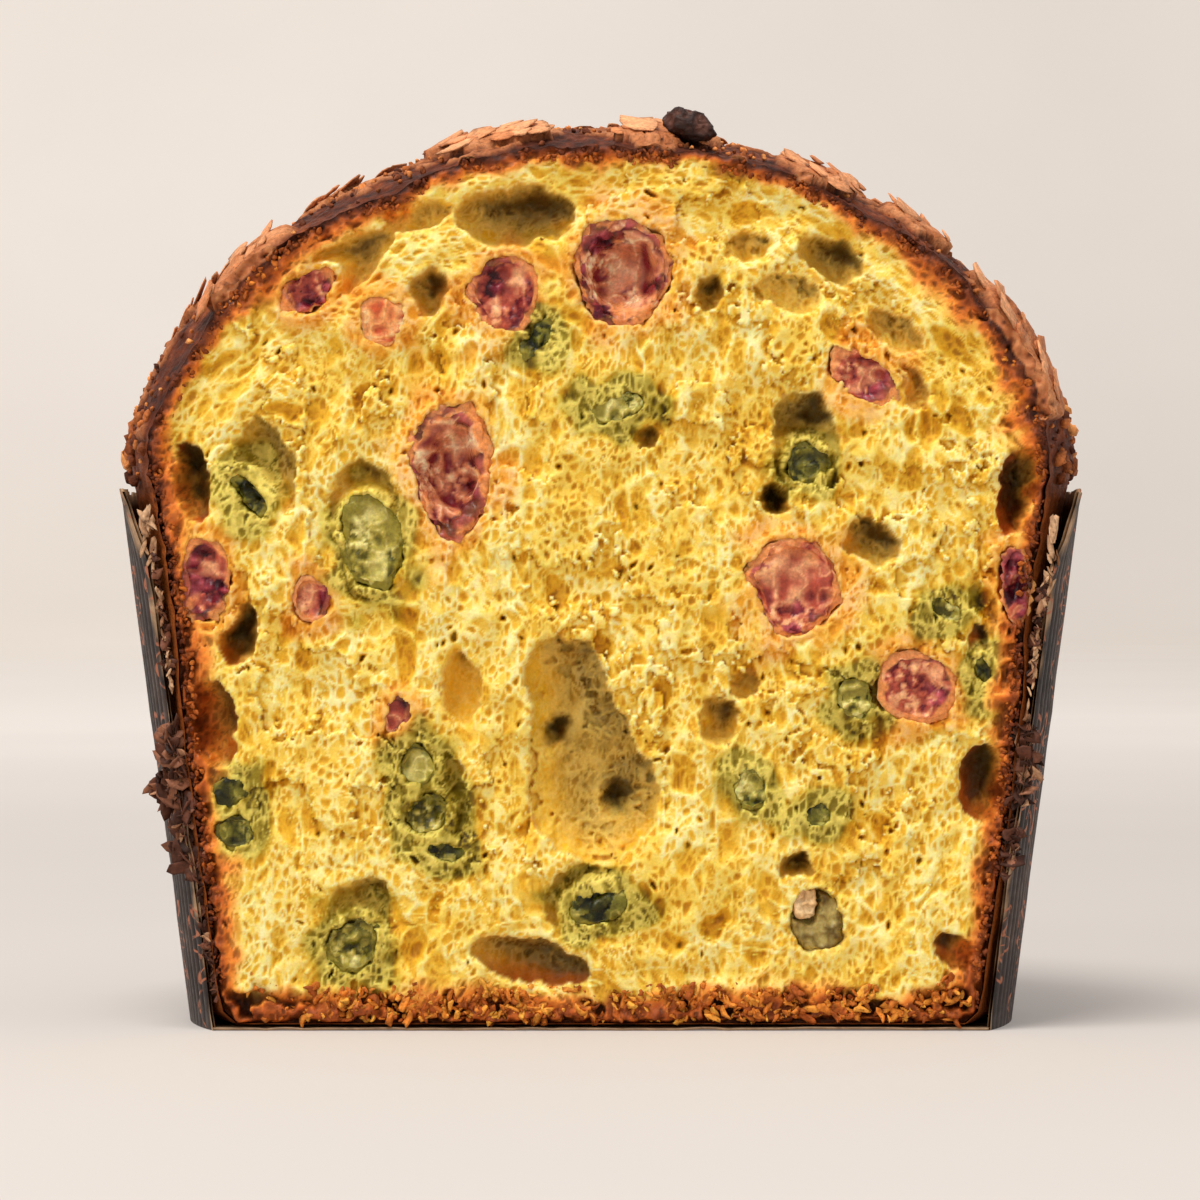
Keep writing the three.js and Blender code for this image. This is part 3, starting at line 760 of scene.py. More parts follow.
def stains(x, z):
    """How much the crumb at each point takes the colour of red and of green fruit near it."""
    found = {"red": np.zeros(len(x)), "green": np.zeros(len(x))}
    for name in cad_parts:
        kind = name.split("_")[0]
        if kind not in found:
            continue
        low, high = map(in_mm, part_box(name))
        centre, reach = (low + high) / 2, (high - low) / 2 + STAIN_REACH[kind]
        far = np.hypot((x - centre[0]) / reach[0], (z - centre[2]) / reach[2])
        far = far + 0.35 * noise(x, 0, z, 4.5, 41)
        found[kind] = np.maximum(found[kind], smooth(1.35, 0.8, far))
    return found


class CutFace:
    """The torn crumb at some points of the cut: how deep it lies there, and its colours."""

    def __init__(self, outline, x, z):
        self.x, self.z = x, z
        self.edge, self.glaze = distance_from_edge(outline, x, z)
        self.open_holes()
        self.draw_out()
        self.tear_foot()
        self.shape()

    def lumps(self, *layers):
        """The sum of noises over the face, each given by its strength, size and channel."""
        return layered(self.x, 0, self.z, *layers)

    def open_holes(self):
        """The holes and the seats of the fruit, with torn rims and tongues of crumb."""
        solids, lumps = BehindCut(), self.lumps
        torn = [v + lumps((0.7, 3.1, channel), (0.4, 1.1, channel + 1))
                for v, channel in ((self.x, 51), (self.z, 53))]
        base, fruit, self.lip, within = (solids.at(name, *torn)
                                         for name in ("depth", "fruit", "lip", "within"))
        self.close = solids.at("close", self.x, self.z)
        creep = 0.8 + lumps((1.2, 2.8, 55), (0.6, 1.2, 56))
        base = (base - 4 * fruit * (1 - fruit) * creep.clip(0)).clip(0)
        tongues = smooth(0.05, 0.4, lumps((1, 3.8, 85))) * smooth(0.97, 0.7, within)
        base = (base - 2.6 * tongues * smooth(0.1, 0.4, within)).clip(0)
        self.hole = smooth(1.0, 1.5, base)
        self.base = base + STEP_IN * self.hole * (1 - self.close)
        self.hang_webs(*torn)
        self.shade_holes(solids, *torn, within)

    def hang_webs(self, torn_x, torn_z):
        """Thin webs of crumb across the holes."""
        bent_x, bent_z = torn_x + self.lumps((0.8, 5, 80)), torn_z + self.lumps((0.8, 5, 83))
        webs = 0
        for size, line, share in WEBS:
            near, next_near, _ = seeds_near(bent_x / size, self.base / 12, bent_z / (1.2 * size), 49)
            webs = np.maximum(webs, share * smooth(line, 0.02, next_near - near))
        self.webs = webs * smooth(2.0, 3.5, self.base) * smooth(-0.5, 0.2, self.lumps((1, 7, 84)))

    def shade_holes(self, solids, torn_x, torn_z, within):
        """The painted shade of the holes, by how deep they are: less on walls that face up or to the
        right, as painted light, and beside fruit.
        """
        facing_up = solids.slope(torn_x, torn_z, 0, SLOPE_REACH)
        to_right = solids.slope(torn_x, torn_z, SLOPE_REACH, 0)
        # Painted light: walls that face up or to the right are lightened
        lit = 1.3 * facing_up.clip(-3, 3) + 0.9 * to_right.clip(-3, 3)
        shade = self.base - (0.8 * STEP_IN * self.hole + lit) * (1 - self.close)
        # A painted highlight on the left wall of the middle hole
        x_from, x_to, height, reach = PAINTED_LIT_WALL
        wall = smooth(x_from, x_to, self.x + self.lumps((3, 9, 86)))
        shade -= 4.5 * wall * smooth(reach, 0.7 * reach, np.abs(self.z - height))
        beside = smooth(0.02, 0.2, within) * self.close
        self.shade = mixed(shade, np.minimum(shade, 1.0), beside)
        self.shaded = self.hole * (1 - 0.75 * beside)

    def draw_out(self):
        """The way that the crumb is drawn out, and the strands that follow it."""
        x, z = self.x, self.z
        *self.grain, self.near = crumb_grain(x, z, self.edge)
        self.around = AROUND_RADIUS * np.arctan2(z - MIDDLE, x)
        self.flow = mixed(noise(x, 0, z / 4, 3.4, 70), noise(self.around / 4, 0, self.edge, 3.4, 71),
                          self.near)
        along = mixed(z, self.around, self.near) / 6
        across = mixed(x, self.edge, self.near)
        self.strands = smooth(0.09, 0.0, np.abs(noise(across, 0, along, 2.0, 72)))
        self.strands *= smooth(0.0, 0.35, self.lumps((1, 13, 73)))

    def tear_foot(self):
        """The gaps in the baked edge, at the foot and low at the sides."""
        inner = self.edge - self.glaze
        self.baked = smooth(5.0, 1.5, inner)
        foot = smooth(9.5, 4.5, self.z + self.lumps((1.8, 7, 66))) * smooth(0.6, 2.2, self.edge)
        side = smooth(RIM_HEIGHT - 8, RIM_HEIGHT - 30, self.z) * smooth(0.6, 2.0, self.edge)
        gaps = smooth(-0.08, -0.4, self.lumps((1, 3.4, 67), (0.45, 1.4, 68)))
        self.gaps = gaps * np.maximum(foot, 0.55 * self.baked * side)

    def shape(self):
        """How deep the torn crumb lies, with its swell, ledges and opened cells."""
        lumps, edge = self.lumps, self.edge
        swell = 1.9 * rough(self.x, 0, self.z, 15, 57) + lumps((0.5, 3.6, 58)) - 0.7 * self.flow
        frilled = lumps((1, 9, 59), (0.35, 2.4, 60), (0.2, 1.1, 64))
        torn = smooth(-0.3, 0.1, lumps((1, 24, 65)))
        ledge = 1.7 * smooth(-0.02, 0.04, frilled) * torn
        # Painted highlight along the torn edge of each ledge, with painted shade beside it
        self.ledge_light_and_shade = torn * (smooth(0.03, 0.0, np.abs(frilled + 0.03))
                              - smooth(0.0, 0.04, frilled) * smooth(0.24, 0.06, frilled))
        crag = lumps((0.9, 2.6, 61), (0.6, 1.2, 62))
        inside = (0.2 + swell + ledge).clip(-0.4) * (1 - self.baked) * (1 - 0.85 * self.close)
        start = self.base + inside + crag * self.baked + 3.6 * self.gaps - 0.9 * self.webs
        start -= self.lip * (0.5 + lumps((0.6, 1.8, 63)))
        stretch = mixed(1.3, 1.42, self.near).astype(np.float32)
        opened, self.wall, self.pinholes = foam(self.x, start, self.z, self.grain, stretch)
        self.strands *= 1 - self.pinholes
        self.opened = opened * (1 - 0.6 * self.strands) * mixed(1.0, 0.6, self.hole)
        held = smooth(RIM_HEIGHT + 12, RIM_HEIGHT - 6, self.z)
        ragged = edge + lumps((0.9, 2.2, 74)) - 0.3
        whole = smooth(0.0, 1.1, mixed(edge, ragged, held))
        self.depth = mixed(2.6 * held, start + self.opened, whole)
        # Painted shade along the ragged edge where the case holds the crumb
        self.gaps = np.maximum(self.gaps, 0.8 * held * smooth(0.9, 0.1, ragged))

    def colours(self):
        """The colour of each point, from the crumb out to the cut glaze."""
        patch, grainy = rough(self.x, 0, self.z, 13, 42), rough(self.x, 0, self.z, 1.3, 43, 2)
        # Painted light and shade: cell walls lighter as painted highlight, opened cells and pinholes
        # darker as painted shade
        tone = 0.48 + 0.36 * self.wall + 0.12 * (patch + grainy) + 0.2 * self.strands
        tone += 0.12 * self.flow + 0.264 * self.ledge_light_and_shade
        tone -= 0.18 * (self.opened / 0.7).clip(0, 1) + 0.18 * smooth(0.8, 2.0, self.opened)
        colours = shade_along(CRUMB_TONES, tone) * (1 - 0.5 * self.pinholes)[:, None]
        colours = blend_colours(colours, self.hole_colours(patch, grainy), 0.92 * self.shaded)
        # Painted highlight on the raised rim of each hole
        rim = 0.6 * smooth(0.15, 0.4, self.lip) * (1 - self.shaded)
        colours = blend_colours(colours, RIM_HIGHLIGHT_TONE, rim)
        stained = stains(self.x, self.z)
        red, green = stained["red"], stained["green"]
        colours = blend_colours(colours, colours * STAIN_TONES["red"], 0.5 * red)
        colours = blend_colours(colours, colours * STAIN_TONES["green"], 1.7 * green.clip(0, 0.5))
        membrane = shade_along(MEMBRANE_TONES, tone)
        colours = blend_colours(colours, membrane, 0.85 * smooth(0.35, 0.95, green))
        colours = self.bake(colours, grainy)
        almond = shade_along(CUT_GLAZE_TONES, 0.6 + 0.5 * grainy)
        glazed = smooth(0.0, 0.5, self.glaze - self.edge) * (self.glaze > 0.3)
        return blend_colours(colours, almond, glazed)

    def hole_colours(self, patch, grainy):
        """The colours inside the holes, darker with depth as painted shade, with the brown pockets
        low beside the crust.
        """
        deep = shade_along(HOLE_SHADE_TONES, (self.shade + 2.0 * patch + 0.6 * grainy).clip(0, 12.5))
        web = np.maximum(0.8 * self.webs, 0.4 * self.wall) * smooth(13, 7, self.shade)
        deep = blend_colours(deep, WEB_TONE, web)
        pocket = smooth(17, 8, self.edge - self.glaze)
        pocket *= smooth(RIM_HEIGHT + 24, RIM_HEIGHT + 12, self.z)
        return blend_colours(deep, shade_along(POCKET_SHADE_TONES, self.shade + 0.9 * patch), pocket)

    def bake(self, colours, grainy):
        """The colours, browned towards the crust, lighter on its cell walls as painted highlight,
        and darker in its opened cells and in the gaps of its foot as painted shade.
        """
        z = self.z
        inner = (self.edge - self.glaze) / (1 + self.lumps((0.4, 11, 46), (0.3, 3, 47)))
        high = mixed(0.82, 0.56, smooth(142, 168, z))
        inner = inner / mixed(mixed(1.1, 0.9, smooth(4, 14, z)), high, smooth(80, 122, z))
        least = 2.4 * smooth(RIM_HEIGHT, RIM_HEIGHT - 25, z)
        baked = shade_along(EDGE_TONES, np.maximum(inner, least) + 1.2 * grainy)
        # Painted highlight on the cell walls and painted shade in the opened cells
        baked = baked * (0.8 + 0.6 * self.wall - 0.35 * self.opened.clip(0, 1))[:, None]
        kept = smooth(4.6, 9.0, inner) * (1 - 0.8 * self.gaps)
        # Painted shade in the gaps of the foot
        return mixed(baked, colours, kept[:, None]) * (1 - 0.85 * self.gaps)[:, None]


def make_face(outline):
    """The cut face: torn crumb, with open cells, holes and the baked edge of the crust."""
    xs = np.arange(-RIM_RADIUS, RIM_RADIUS, FACE_PITCH)
    zs = np.arange(0, FACE_TOP, FACE_PITCH)
    gx, gz = np.meshgrid(xs, zs)
    angle, far = np.arctan2(gz - MIDDLE, gx), np.hypot(gx, gz - MIDDLE)
    limit, _ = along_outline(outline, angle)
    inside = far < limit
    kept = inside[:-1, :-1] | inside[1:, :-1] | inside[:-1, 1:] | inside[1:, 1:]
    faces, _, _ = grid_faces(len(zs), len(xs))
    faces = faces[kept.ravel()]
    used = np.unique(faces)
    number = np.zeros(gx.size, np.int64)
    number[used] = np.arange(len(used))
    pull = np.minimum(1, limit / far.clip(1e-6)).ravel()[used]
    x = gx.ravel()[used] * pull
    z = MIDDLE + (gz.ravel()[used] - MIDDLE) * pull
    face = CutFace(outline, x, z)
    mesh = mesh_of("crumb", np.stack([x, -CUT + face.depth, z], 1), number[faces])
    set_colours(mesh, face.colours())
    at = corner_vertices(mesh)
    set_map(mesh, np.stack([(x[at] + RIM_RADIUS) / (2 * RIM_RADIUS), z[at] / FACE_TOP], 1))
    add_piece("crumb", mesh, crumb_look(), "bread")


def distance_from_edge(outline, x, z):
    """How far inside the cut's outline each point is, and how thick the glaze is there."""
    angle, far = np.arctan2(z - MIDDLE, x), np.hypot(x, z - MIDDLE)
    steps = np.linspace(-np.pi, np.pi, 721)
    limits, _ = along_outline(outline, steps)
    slope = np.gradient(np.convolve(np.pad(limits, 4, "wrap"), np.ones(9) / 9, "valid"), steps)
    square = limits / np.hypot(limits, slope)
    limit, glaze = along_outline(outline, angle)
    return (limit - far) * np.interp(angle, steps, square), glaze


# Crumbs, curls and flakes, which are small separate bits joined into one piece of each kind

FLAKE_RINGS = [(0.55, 1.0), (1.0, 0.55), (1.0, -0.55), (0.55, -1.0)]  # radius and height


def flake_form(corners):
    """A flat bit of half size 1: its points, and its faces as triangles."""
    turn = np.arange(corners) / corners * 2 * np.pi
    rings = [np.stack([r * np.cos(turn), r * np.sin(turn), 0 * turn + h], 1) for r, h in FLAKE_RINGS]
    points = np.concatenate([[(0, 0, 1.0)], *rings, [(0, 0, -1.0)]])
    here = np.arange(corners)
    following = (here + 1) % corners
    faces = [np.stack([0 * here, 1 + here, 1 + following], 1)]
    for ring in range(len(FLAKE_RINGS) - 1):
        a, b = 1 + ring * corners + here, 1 + ring * corners + following
        faces += [np.stack([a, a + corners, b], 1), np.stack([b, a + corners, b + corners], 1)]
    last = 1 + (len(FLAKE_RINGS) - 1) * corners
    end = len(points) - 1
    faces.append(np.stack([0 * here + end, last + following, last + here], 1))
    return points, np.concatenate(faces)


def make_bits(name, slot, look, spots, facing, sizes, tints, channel, corners=9, tilt=0.3,
              bend=0.0, node="bread", upright=0.0):
    """Bits of these half sizes (long, wide, thick) and colours at the spots, each lying
    across its facing. The larger upright is, the more their long sides stand up."""
    form, faces = flake_form(corners)
    count = len(spots)
    turn, lean, ragged = lots(count, channel), lots(count, channel + 1), lots(count, channel + 2)
    out = lengths_of_one(facing + tilt * (2 * lean - 1))
    side = np.cross(out, 2 * turn - 1 + upright * np.cross(out, [0.0, 0.0, 1.0]))
    side = lengths_of_one(side)
    across = np.cross(out, side)
    number, corner = np.arange(count)[:, None], np.arange(len(form))
    jag = random_shares(number, (corner - 1) % corners, 0, channel + 3)
    dent = random_shares(number, corner, 1, channel + 3)
    reach = (0.62 + 0.7 * jag) * (0.9 + 0.2 * dent)
    u, v = form[None, :, 0] * reach, form[None, :, 1] * reach
    w = form[None, :, 2] * (0.7 + 0.6 * dent) + bend * (u * u - 0.4) * (0.5 + ragged[:, :1])
    points = spots[:, None, :] + sum(
        share[:, :, None] * size[:, None, None] * way[:, None, :]
        for share, size, way in zip((u, v, w), sizes.T, (side, across, out)))
    mesh = mesh_of(name, points.reshape(-1, 3),
                   (faces[None] + len(form) * np.arange(count)[:, None, None]).reshape(-1, 3))
    # Painted light and shade: each bit lighter on its outer face and darker on its inner face
    strength = 1 + 0.5 * (dent - 0.5) + 0.22 * form[None, :, 2] + 0.3 * (ragged[:, 1:2] - 0.5)
    set_colours(mesh, (tints[:, None, :] * strength[:, :, None]).reshape(-1, 3))
    add_piece(name, mesh, look, node)


FLAKE_SPACING = 3.7
CRUMB_SPACING = 2.9
EDGE_BITS = 3600
SKIRT_SHARE = 0.06  # of the loose bits on the dome, those that lie below its base
SKIRT_DEPTH = 13.56  # how far below the base they reach
GOLDEN_ANGLE = np.pi * (3 - math.sqrt(5))
BIT_TONES = palette((70, 30, 16), (132, 66, 30), (196, 112, 54), (226, 150, 84),
                    at=(0.0, 0.4, 0.8, 1.0))
FLAKE_TONES = palette((92, 42, 24), (164, 92, 50), (200, 124, 76), (226, 160, 112),
                      at=(0.0, 0.25, 0.7, 1.0))


def spots_on_dome(spacing, channel):
    """Places all over the skin behind the cut, from the top down to below the dome's base."""
    area = 2 * np.pi * DOME_RADIUS * (DOME_HEIGHT + 12)
    count = int(area / spacing**2)
    number = np.arange(count) + 0.5
    lot = lots(count, channel)
    up = 1 - number / count * (1 + SKIRT_SHARE)
    turn = number * GOLDEN_ANGLE + 0.03 * lot[:, 0]
    flat = np.sqrt(1 - up.clip(0) ** 2)
    reach = dome_reach(flat.clip(1e-6), up.clip(1e-6))
    height = DOME_BASE + reach * up.clip(0) + SKIRT_DEPTH / SKIRT_SHARE * np.minimum(up, 0)
    spots = np.stack([reach * flat * np.sin(turn), -reach * flat * np.cos(turn), height], 1)
    kept = spots[:, 1] > -CUT + 1.2
    return spots[kept], lot[kept]


def make_flakes(tree):
    """Broken flakes of almond glaze on its plates."""
    spots, lot = spots_on_dome(FLAKE_SPACING, 90)
    facing = away_from_dome(spots)
    rise = rise_over(tree, spots, facing)
    x, y, z = spots.T
    glazed = (rise + 0.5 * noise(x, y, z, 5, 91) > 1.0) & (lot[:, 1] > 0.55)
    half = 1.4 + 3.4 * lot[:, 0] ** 1.5
    sizes = np.stack([half, half * (0.6 + 0.4 * lot[:, 1]), 0.16 + 0.2 * lot[:, 2]], 1)
    on_top = spots + facing * (np.clip(rise, 1.5, 3.3) - 0.2 + 0.5 * lot[:, 1])[:, None]
    make_bits("glaze_flakes", "glaze", crust_look(), on_top[glazed], facing[glazed],
              sizes[glazed], shade_along(FLAKE_TONES, lot[:, 1])[glazed], 92, tilt=0.1, bend=0.3)


def make_crust_crumbs(tree):
    """Brown crumbs on the bare crust, most of them round its shoulder."""
    crumbs, lot = spots_on_dome(CRUMB_SPACING, 96)
    facing = away_from_dome(crumbs)
    x, y, z = crumbs.T
    bare = (rise_over(tree, crumbs, facing) < 0.9) & (z > RIM_HEIGHT + 1.5)
    shoulder = smooth(DOME_BASE + 26, DOME_BASE + 4, z)
    bare &= lot[:, 1] < 0.25 + 0.75 * shoulder + 0.5 * noise(x, y, z, 9, 97)
    half = 0.5 + (0.5 + 1.1 * shoulder) * lot[:, 0] ** 2
    sizes = np.stack([half, 0.8 * half, 0.6 * half], 1)
    out = 0.9 * noise_of_solids(x, y, z, 17) + 0.2 + 0.5 * lot[:, 2]
    make_bits("crust_crumbs", "crust", crust_look(), (crumbs + facing * out[:, None])[bare],
              facing[bare], sizes[bare], shade_along(BIT_TONES, lot[:, 2])[bare], 98, corners=7,
              tilt=1.0)


def make_edge_bits(outline):
    """The torn, porous edge of the crust in the cut: curls at the foot, crumbs elsewhere."""
    lot, more = lots(EDGE_BITS, 110), lots(EDGE_BITS, 111)
    angle = (lot[:, 0] * 2 - 1) * np.pi
    limit, glaze = along_outline(outline, angle)
    low = MIDDLE + limit * np.sin(angle) < FOOT + 3
    inset = np.where(low, 0.8 + 6.5 * lot[:, 1], 0.3 + 0.7 * glaze + 2.6 * lot[:, 1] ** 1.3)
    edge = inset / np.where(low, np.abs(np.sin(angle)), 1.0)
    x = (limit - edge) * np.cos(angle)
    z = MIDDLE + (limit - edge) * np.sin(angle)
    kept = lot[:, 2] < np.where(low, 1.0, 0.55) * smooth(-0.5, 0.1, noise(x, 0, z, 6, 112) + 0.3)
    half = np.where(low, 0.8 + 1.3 * more[:, 0] ** 2, 0.4 + 0.5 * more[:, 0] ** 2)
    sizes = np.stack([half, half * np.where(low, 0.4, 0.6), half * np.where(low, 0.3, 0.5)], 1)
    depth = np.where(low, 2.0, 0.8) * more[:, 1]
    tones = np.where(low, 2.4 + 4.6 * more[:, 2], 0.5 + 0.95 * inset + 1.8 * (more[:, 2] - 0.5))
    tints = shade_along(EDGE_TONES, tones)
    spots = np.stack([x, -CUT + depth, z], 1)
    facing = np.tile([0.0, -1.0, 0.0], (EDGE_BITS, 1))
    look = crust_look()
    for name, chosen, bend in (("foot_curls", low & kept, 1.6), ("edge_crumbs", ~low & kept, 0.4)):
        make_bits(name, "crust", look, spots[chosen], facing[chosen], sizes[chosen],
                  tints[chosen], 114, corners=7, tilt=0.9, bend=bend)


# Fruit and raisins

PLUM = palette((50, 4, 16), (120, 26, 44), (190, 84, 92))
ROSE = palette((104, 18, 28), (188, 84, 62), (246, 180, 128))
CREAM = palette((132, 34, 42), (220, 138, 96), (255, 226, 180))
PEACH = palette((206, 92, 48), (242, 168, 100), (255, 226, 168))
MOSS = palette((20, 22, 3), (62, 62, 10), (140, 132, 46))
OLIVE = palette((50, 48, 6), (120, 112, 30), (210, 194, 100))
JELLY = palette((84, 76, 12), (182, 164, 66), (246, 232, 150))
DARK_RAISIN = palette((22, 12, 10), (50, 28, 22), (96, 60, 48))
OLIVE_RAISIN = palette((60, 40, 20), (122, 98, 40), (196, 172, 100))
NUT = palette((160, 110, 66), (214, 170, 116), (240, 208, 160))
RIM_STAINS = {"red": light(236, 150, 84), "green": light(140, 126, 38)}
STYLES = {
    # colours of flesh and of skin; how much skin lies round the rim, to one side, and all
    # over; and how far the middle is dished
    "bowl": (CREAM, PLUM, 0.55, 0.2, -0.04, 2.6),
    "plum": (ROSE, PLUM, 0.1, 0.3, 0.45, 0.8),
    "rose": (ROSE, PLUM, 0.15, 0.4, 0.08, 1.2),
    "peach": (PEACH, ROSE, 0.15, 0.25, -0.05, 0.0),
    "moss": (OLIVE, MOSS, 0.1, 0.25, 0.42, 0.0),
    "olive": (JELLY, OLIVE, 0.1, 0.4, 0.2, 0.6),
    "jelly": (JELLY, MOSS, 0.1, 0.62, -0.22, 1.0),
}
FRUIT_LOOKS = {
    # style of each piece, and the way that its skin lies in degrees from +X
    "red_fruit_01": ("plum", -110), "red_fruit_02": ("peach", 90), "red_fruit_03": ("rose", 100),
    "red_fruit_04": ("bowl", 120), "red_fruit_05": ("rose", -60), "red_fruit_06": ("bowl", -90),
    "red_fruit_07": ("plum", 180), "red_fruit_08": ("rose", 0), "red_fruit_09": ("plum", 0),
    "red_fruit_10": ("rose", -130), "red_fruit_11": ("rose", 20), "red_fruit_12": ("plum", 90),
    "green_fruit_02": ("moss", 180), "green_fruit_03": ("jelly", 0),
    "green_fruit_04": ("olive", 90), "green_fruit_08": ("jelly", 90),
    "green_fruit_09": ("olive", 90), "green_fruit_11": ("olive", 0),
    "green_fruit_13": ("olive", 180), "green_fruit_15": ("olive", 0),
    "green_fruit_16": ("olive", 0),
}
USUAL_LOOK = ("moss", 90)
LARGE_FRUIT = 15.0
LARGE_VOXEL = 0.4
VOXEL = 0.3
FINE_VOXEL = 0.24
LUMP = 2.4
GRAIN = 1.3
FILLED_EDGE = 0.8  # share of its slope back that the edge of a piece loses, to meet the crumb


def refined(node, voxel):
    """A fine, smooth mesh with the form of a node's solid."""
    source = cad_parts[node]
    rough_piece = bpy.data.objects.new("refining", source.data.copy())
    bpy.context.scene.collection.objects.link(rough_piece)
    remesh = rough_piece.modifiers.new("remesh", "REMESH")
    remesh.mode = "VOXEL"
    remesh.voxel_size = voxel * MM
    even = rough_piece.modifiers.new("even", "SMOOTH")
    even.factor = 0.6
    even.iterations = 4
    shaped = rough_piece.evaluated_get(bpy.context.evaluated_depsgraph_get())
    mesh = bpy.data.meshes.new_from_object(shaped)
    bpy.data.objects.remove(rough_piece)
    mesh.name = node
    mesh.materials.clear()
    mesh.shade_smooth()
    return mesh


def make_fruit(node, materials):
    """One piece of candied fruit: grainy flesh with darker lumps of skin."""
    kind = node.split("_")[0]
    style, degrees = FRUIT_LOOKS.get(node, USUAL_LOOK)
    flesh_tones, skin_tones, round_rim, to_side, all_over, dish = STYLES[style]
    way = math.radians(degrees)
    low, high = map(in_mm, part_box(node))
    mesh = refined(node, LARGE_VOXEL if max(high - low) > LARGE_FRUIT else VOXEL)
    points, out = points_of(mesh), normals_of(mesh)
    x, y, z = points.T
    centre, half = (low + high) / 2, (high - low) / 2
    across, up = (x - centre[0]) / half[0], (z - centre[2]) / half[2]
    far = np.hypot(across, up)
    lumps, _, own = seeds_near(x / LUMP, y / LUMP, z / LUMP, 71)
    grains, _, grain_own = seeds_near(x / GRAIN, y / GRAIN, z / GRAIN, 72)
    pulpy = smooth(-0.25, 0.25, noise(x, y, z, 7, 77) + 0.3 * (far - 0.5))
    skin = all_over + round_rim * smooth(0.45, 0.85, far)
    skin = skin + to_side * (across * math.cos(way) + up * math.sin(way))
    skin = smooth(0.3, 0.5, skin + 0.45 * noise(x, y, z, 4.5, 73) + 0.5 * (share_of(own, 8) - 0.5))
    folds = np.abs(noise(x, y, z, 2.8, 74))
    relief = 0.9 * noise(x, y, z, 5, 75) - 0.8 * folds + 0.8 * pulpy * (0.45 - grains)
    relief = relief + 2.0 * skin * (0.5 - lumps)
    moved = points + out * (relief * min(1, max(half) / 6))[:, None]
    ragged = far + layered(x, y, z, (0.3, 4, 78), (0.12, 1.6, 78))
    filled = FILLED_EDGE * (moved[:, 1] - low[1]).clip(0) * smooth(0.5, 0.85, far)
    moved[:, 1] += (dish * smooth(0.8, 0.25, ragged) - filled) * smooth(0, -0.8, y - centre[1])
    set_points(mesh, moved)
    shade = 0.56 + 0.7 * rough(x, y, z, 5.5, 76) + 0.8 * pulpy * (share_of(grain_own, 8) - 0.5)
    # Painted light and shade: lighter along the crests between the folds, darker down in the folds
    shade += 0.3 * smooth(0.12, 0.0, folds) - 0.4 * smooth(0.25, 0.7, folds)
    # Painted shade: darker the deeper the point lies behind the cut, in the middle of the piece
    deep = 0.07 * (y + CUT - 1.5).clip(0, 8) * smooth(1.0, 0.6, far)
    flesh = shade_along(flesh_tones, shade + 0.7 * pulpy * (0.4 - grains) - deep)
    skin_colours = shade_along(skin_tones, shade + 0.6 * (0.4 - lumps) - 0.5 * deep)
    colours = blend_colours(flesh, skin_colours, skin)
    stained = smooth(0.62, 0.92, far + 0.35 * noise(x, y, z, 3.5, 79)) * (1 - 0.75 * skin)
    stained = np.maximum(0.85 * stained, smooth(0.82, 0.96, ragged))
    colours = blend_colours(colours, RIM_STAINS[kind], stained)
    set_colours(mesh, colours)
    add_piece(node + "_piece", mesh, materials[kind], node)


def make_raisin(node, material, tones, voxel=VOXEL):
    """A raisin or chip of nut, wrinkled, and darker in its folds."""
    mesh = refined(node, voxel)
    points, out = points_of(mesh), normals_of(mesh)
    x, y, z = points.T
    folds = np.abs(noise(x, y, z, 2.2, 65)) + 0.5 * np.abs(noise(x, y, z, 1.0, 66))
    set_points(mesh, points + out * (0.35 - 1.1 * folds)[:, None])
    tone = 0.2 + 0.9 * folds + 0.3 * noise(x, y, z, 3, 67)
    set_colours(mesh, shade_along(tones, tone))
    add_piece(node + "_piece", mesh, material, node)


# The paper case

PLEATS = 168
PLEAT_DEPTH = 0.55
PLEAT_POINTS = 8
CASE_SHARE = 0.78  # of the full round, to choose how many columns the wall has
WALL_ROWS = 32
SHEET = 0.55  # thickness of the paper that shows
FLOOR_SHEET = 0.45
MEAN_RADIUS = 0.93 * RIM_RADIUS
FLAP_HEIGHT = 20
FLAP_LENGTH = 16
FLAP_REACH = 2.8
WALL_SHARE = 0.62  # of the height of the map, what the wall takes
BASE_START = 0.66  # where the base starts on it
PAPER_TONES = palette((24, 15, 12), (58, 42, 35), (102, 82, 72))
# The inside of the paper, painted dark as shade
SHADED_PAPER_INSIDE = light(70, 38, 24)
PAPER_TORN = light(206, 164, 122)
COPPER = light(176, 104, 70)
SCRAP_TONES = palette((38, 20, 13), (94, 54, 38), (138, 88, 62), (196, 150, 112),
                      at=(0.0, 0.6, 0.9, 1.0))
FIBRE_TONES = palette((124, 80, 50), (206, 164, 124))


def pleated_radius(turn, z):
    """Radius of the outside of the pleats, which run out at the foot."""
    wave = np.abs(np.cos(turn * PLEATS / 2))
    return case_outer(z) - PLEAT_DEPTH * (1 - wave) * smooth(0, 6, z)


def spread_flap(points):
    """Spreads the cut ends of the paper near the rim, as the solid's are."""
    x, y, z = points.T
    high = smooth(RIM_HEIGHT - FLAP_HEIGHT, RIM_HEIGHT, z)
    near = smooth(-CUT + FLAP_LENGTH, -CUT, y)
    side = np.sign(x) * smooth(40, 80, np.abs(x))
    moved = points.copy()
    moved[:, 0] += side * FLAP_REACH * high * near
    return moved


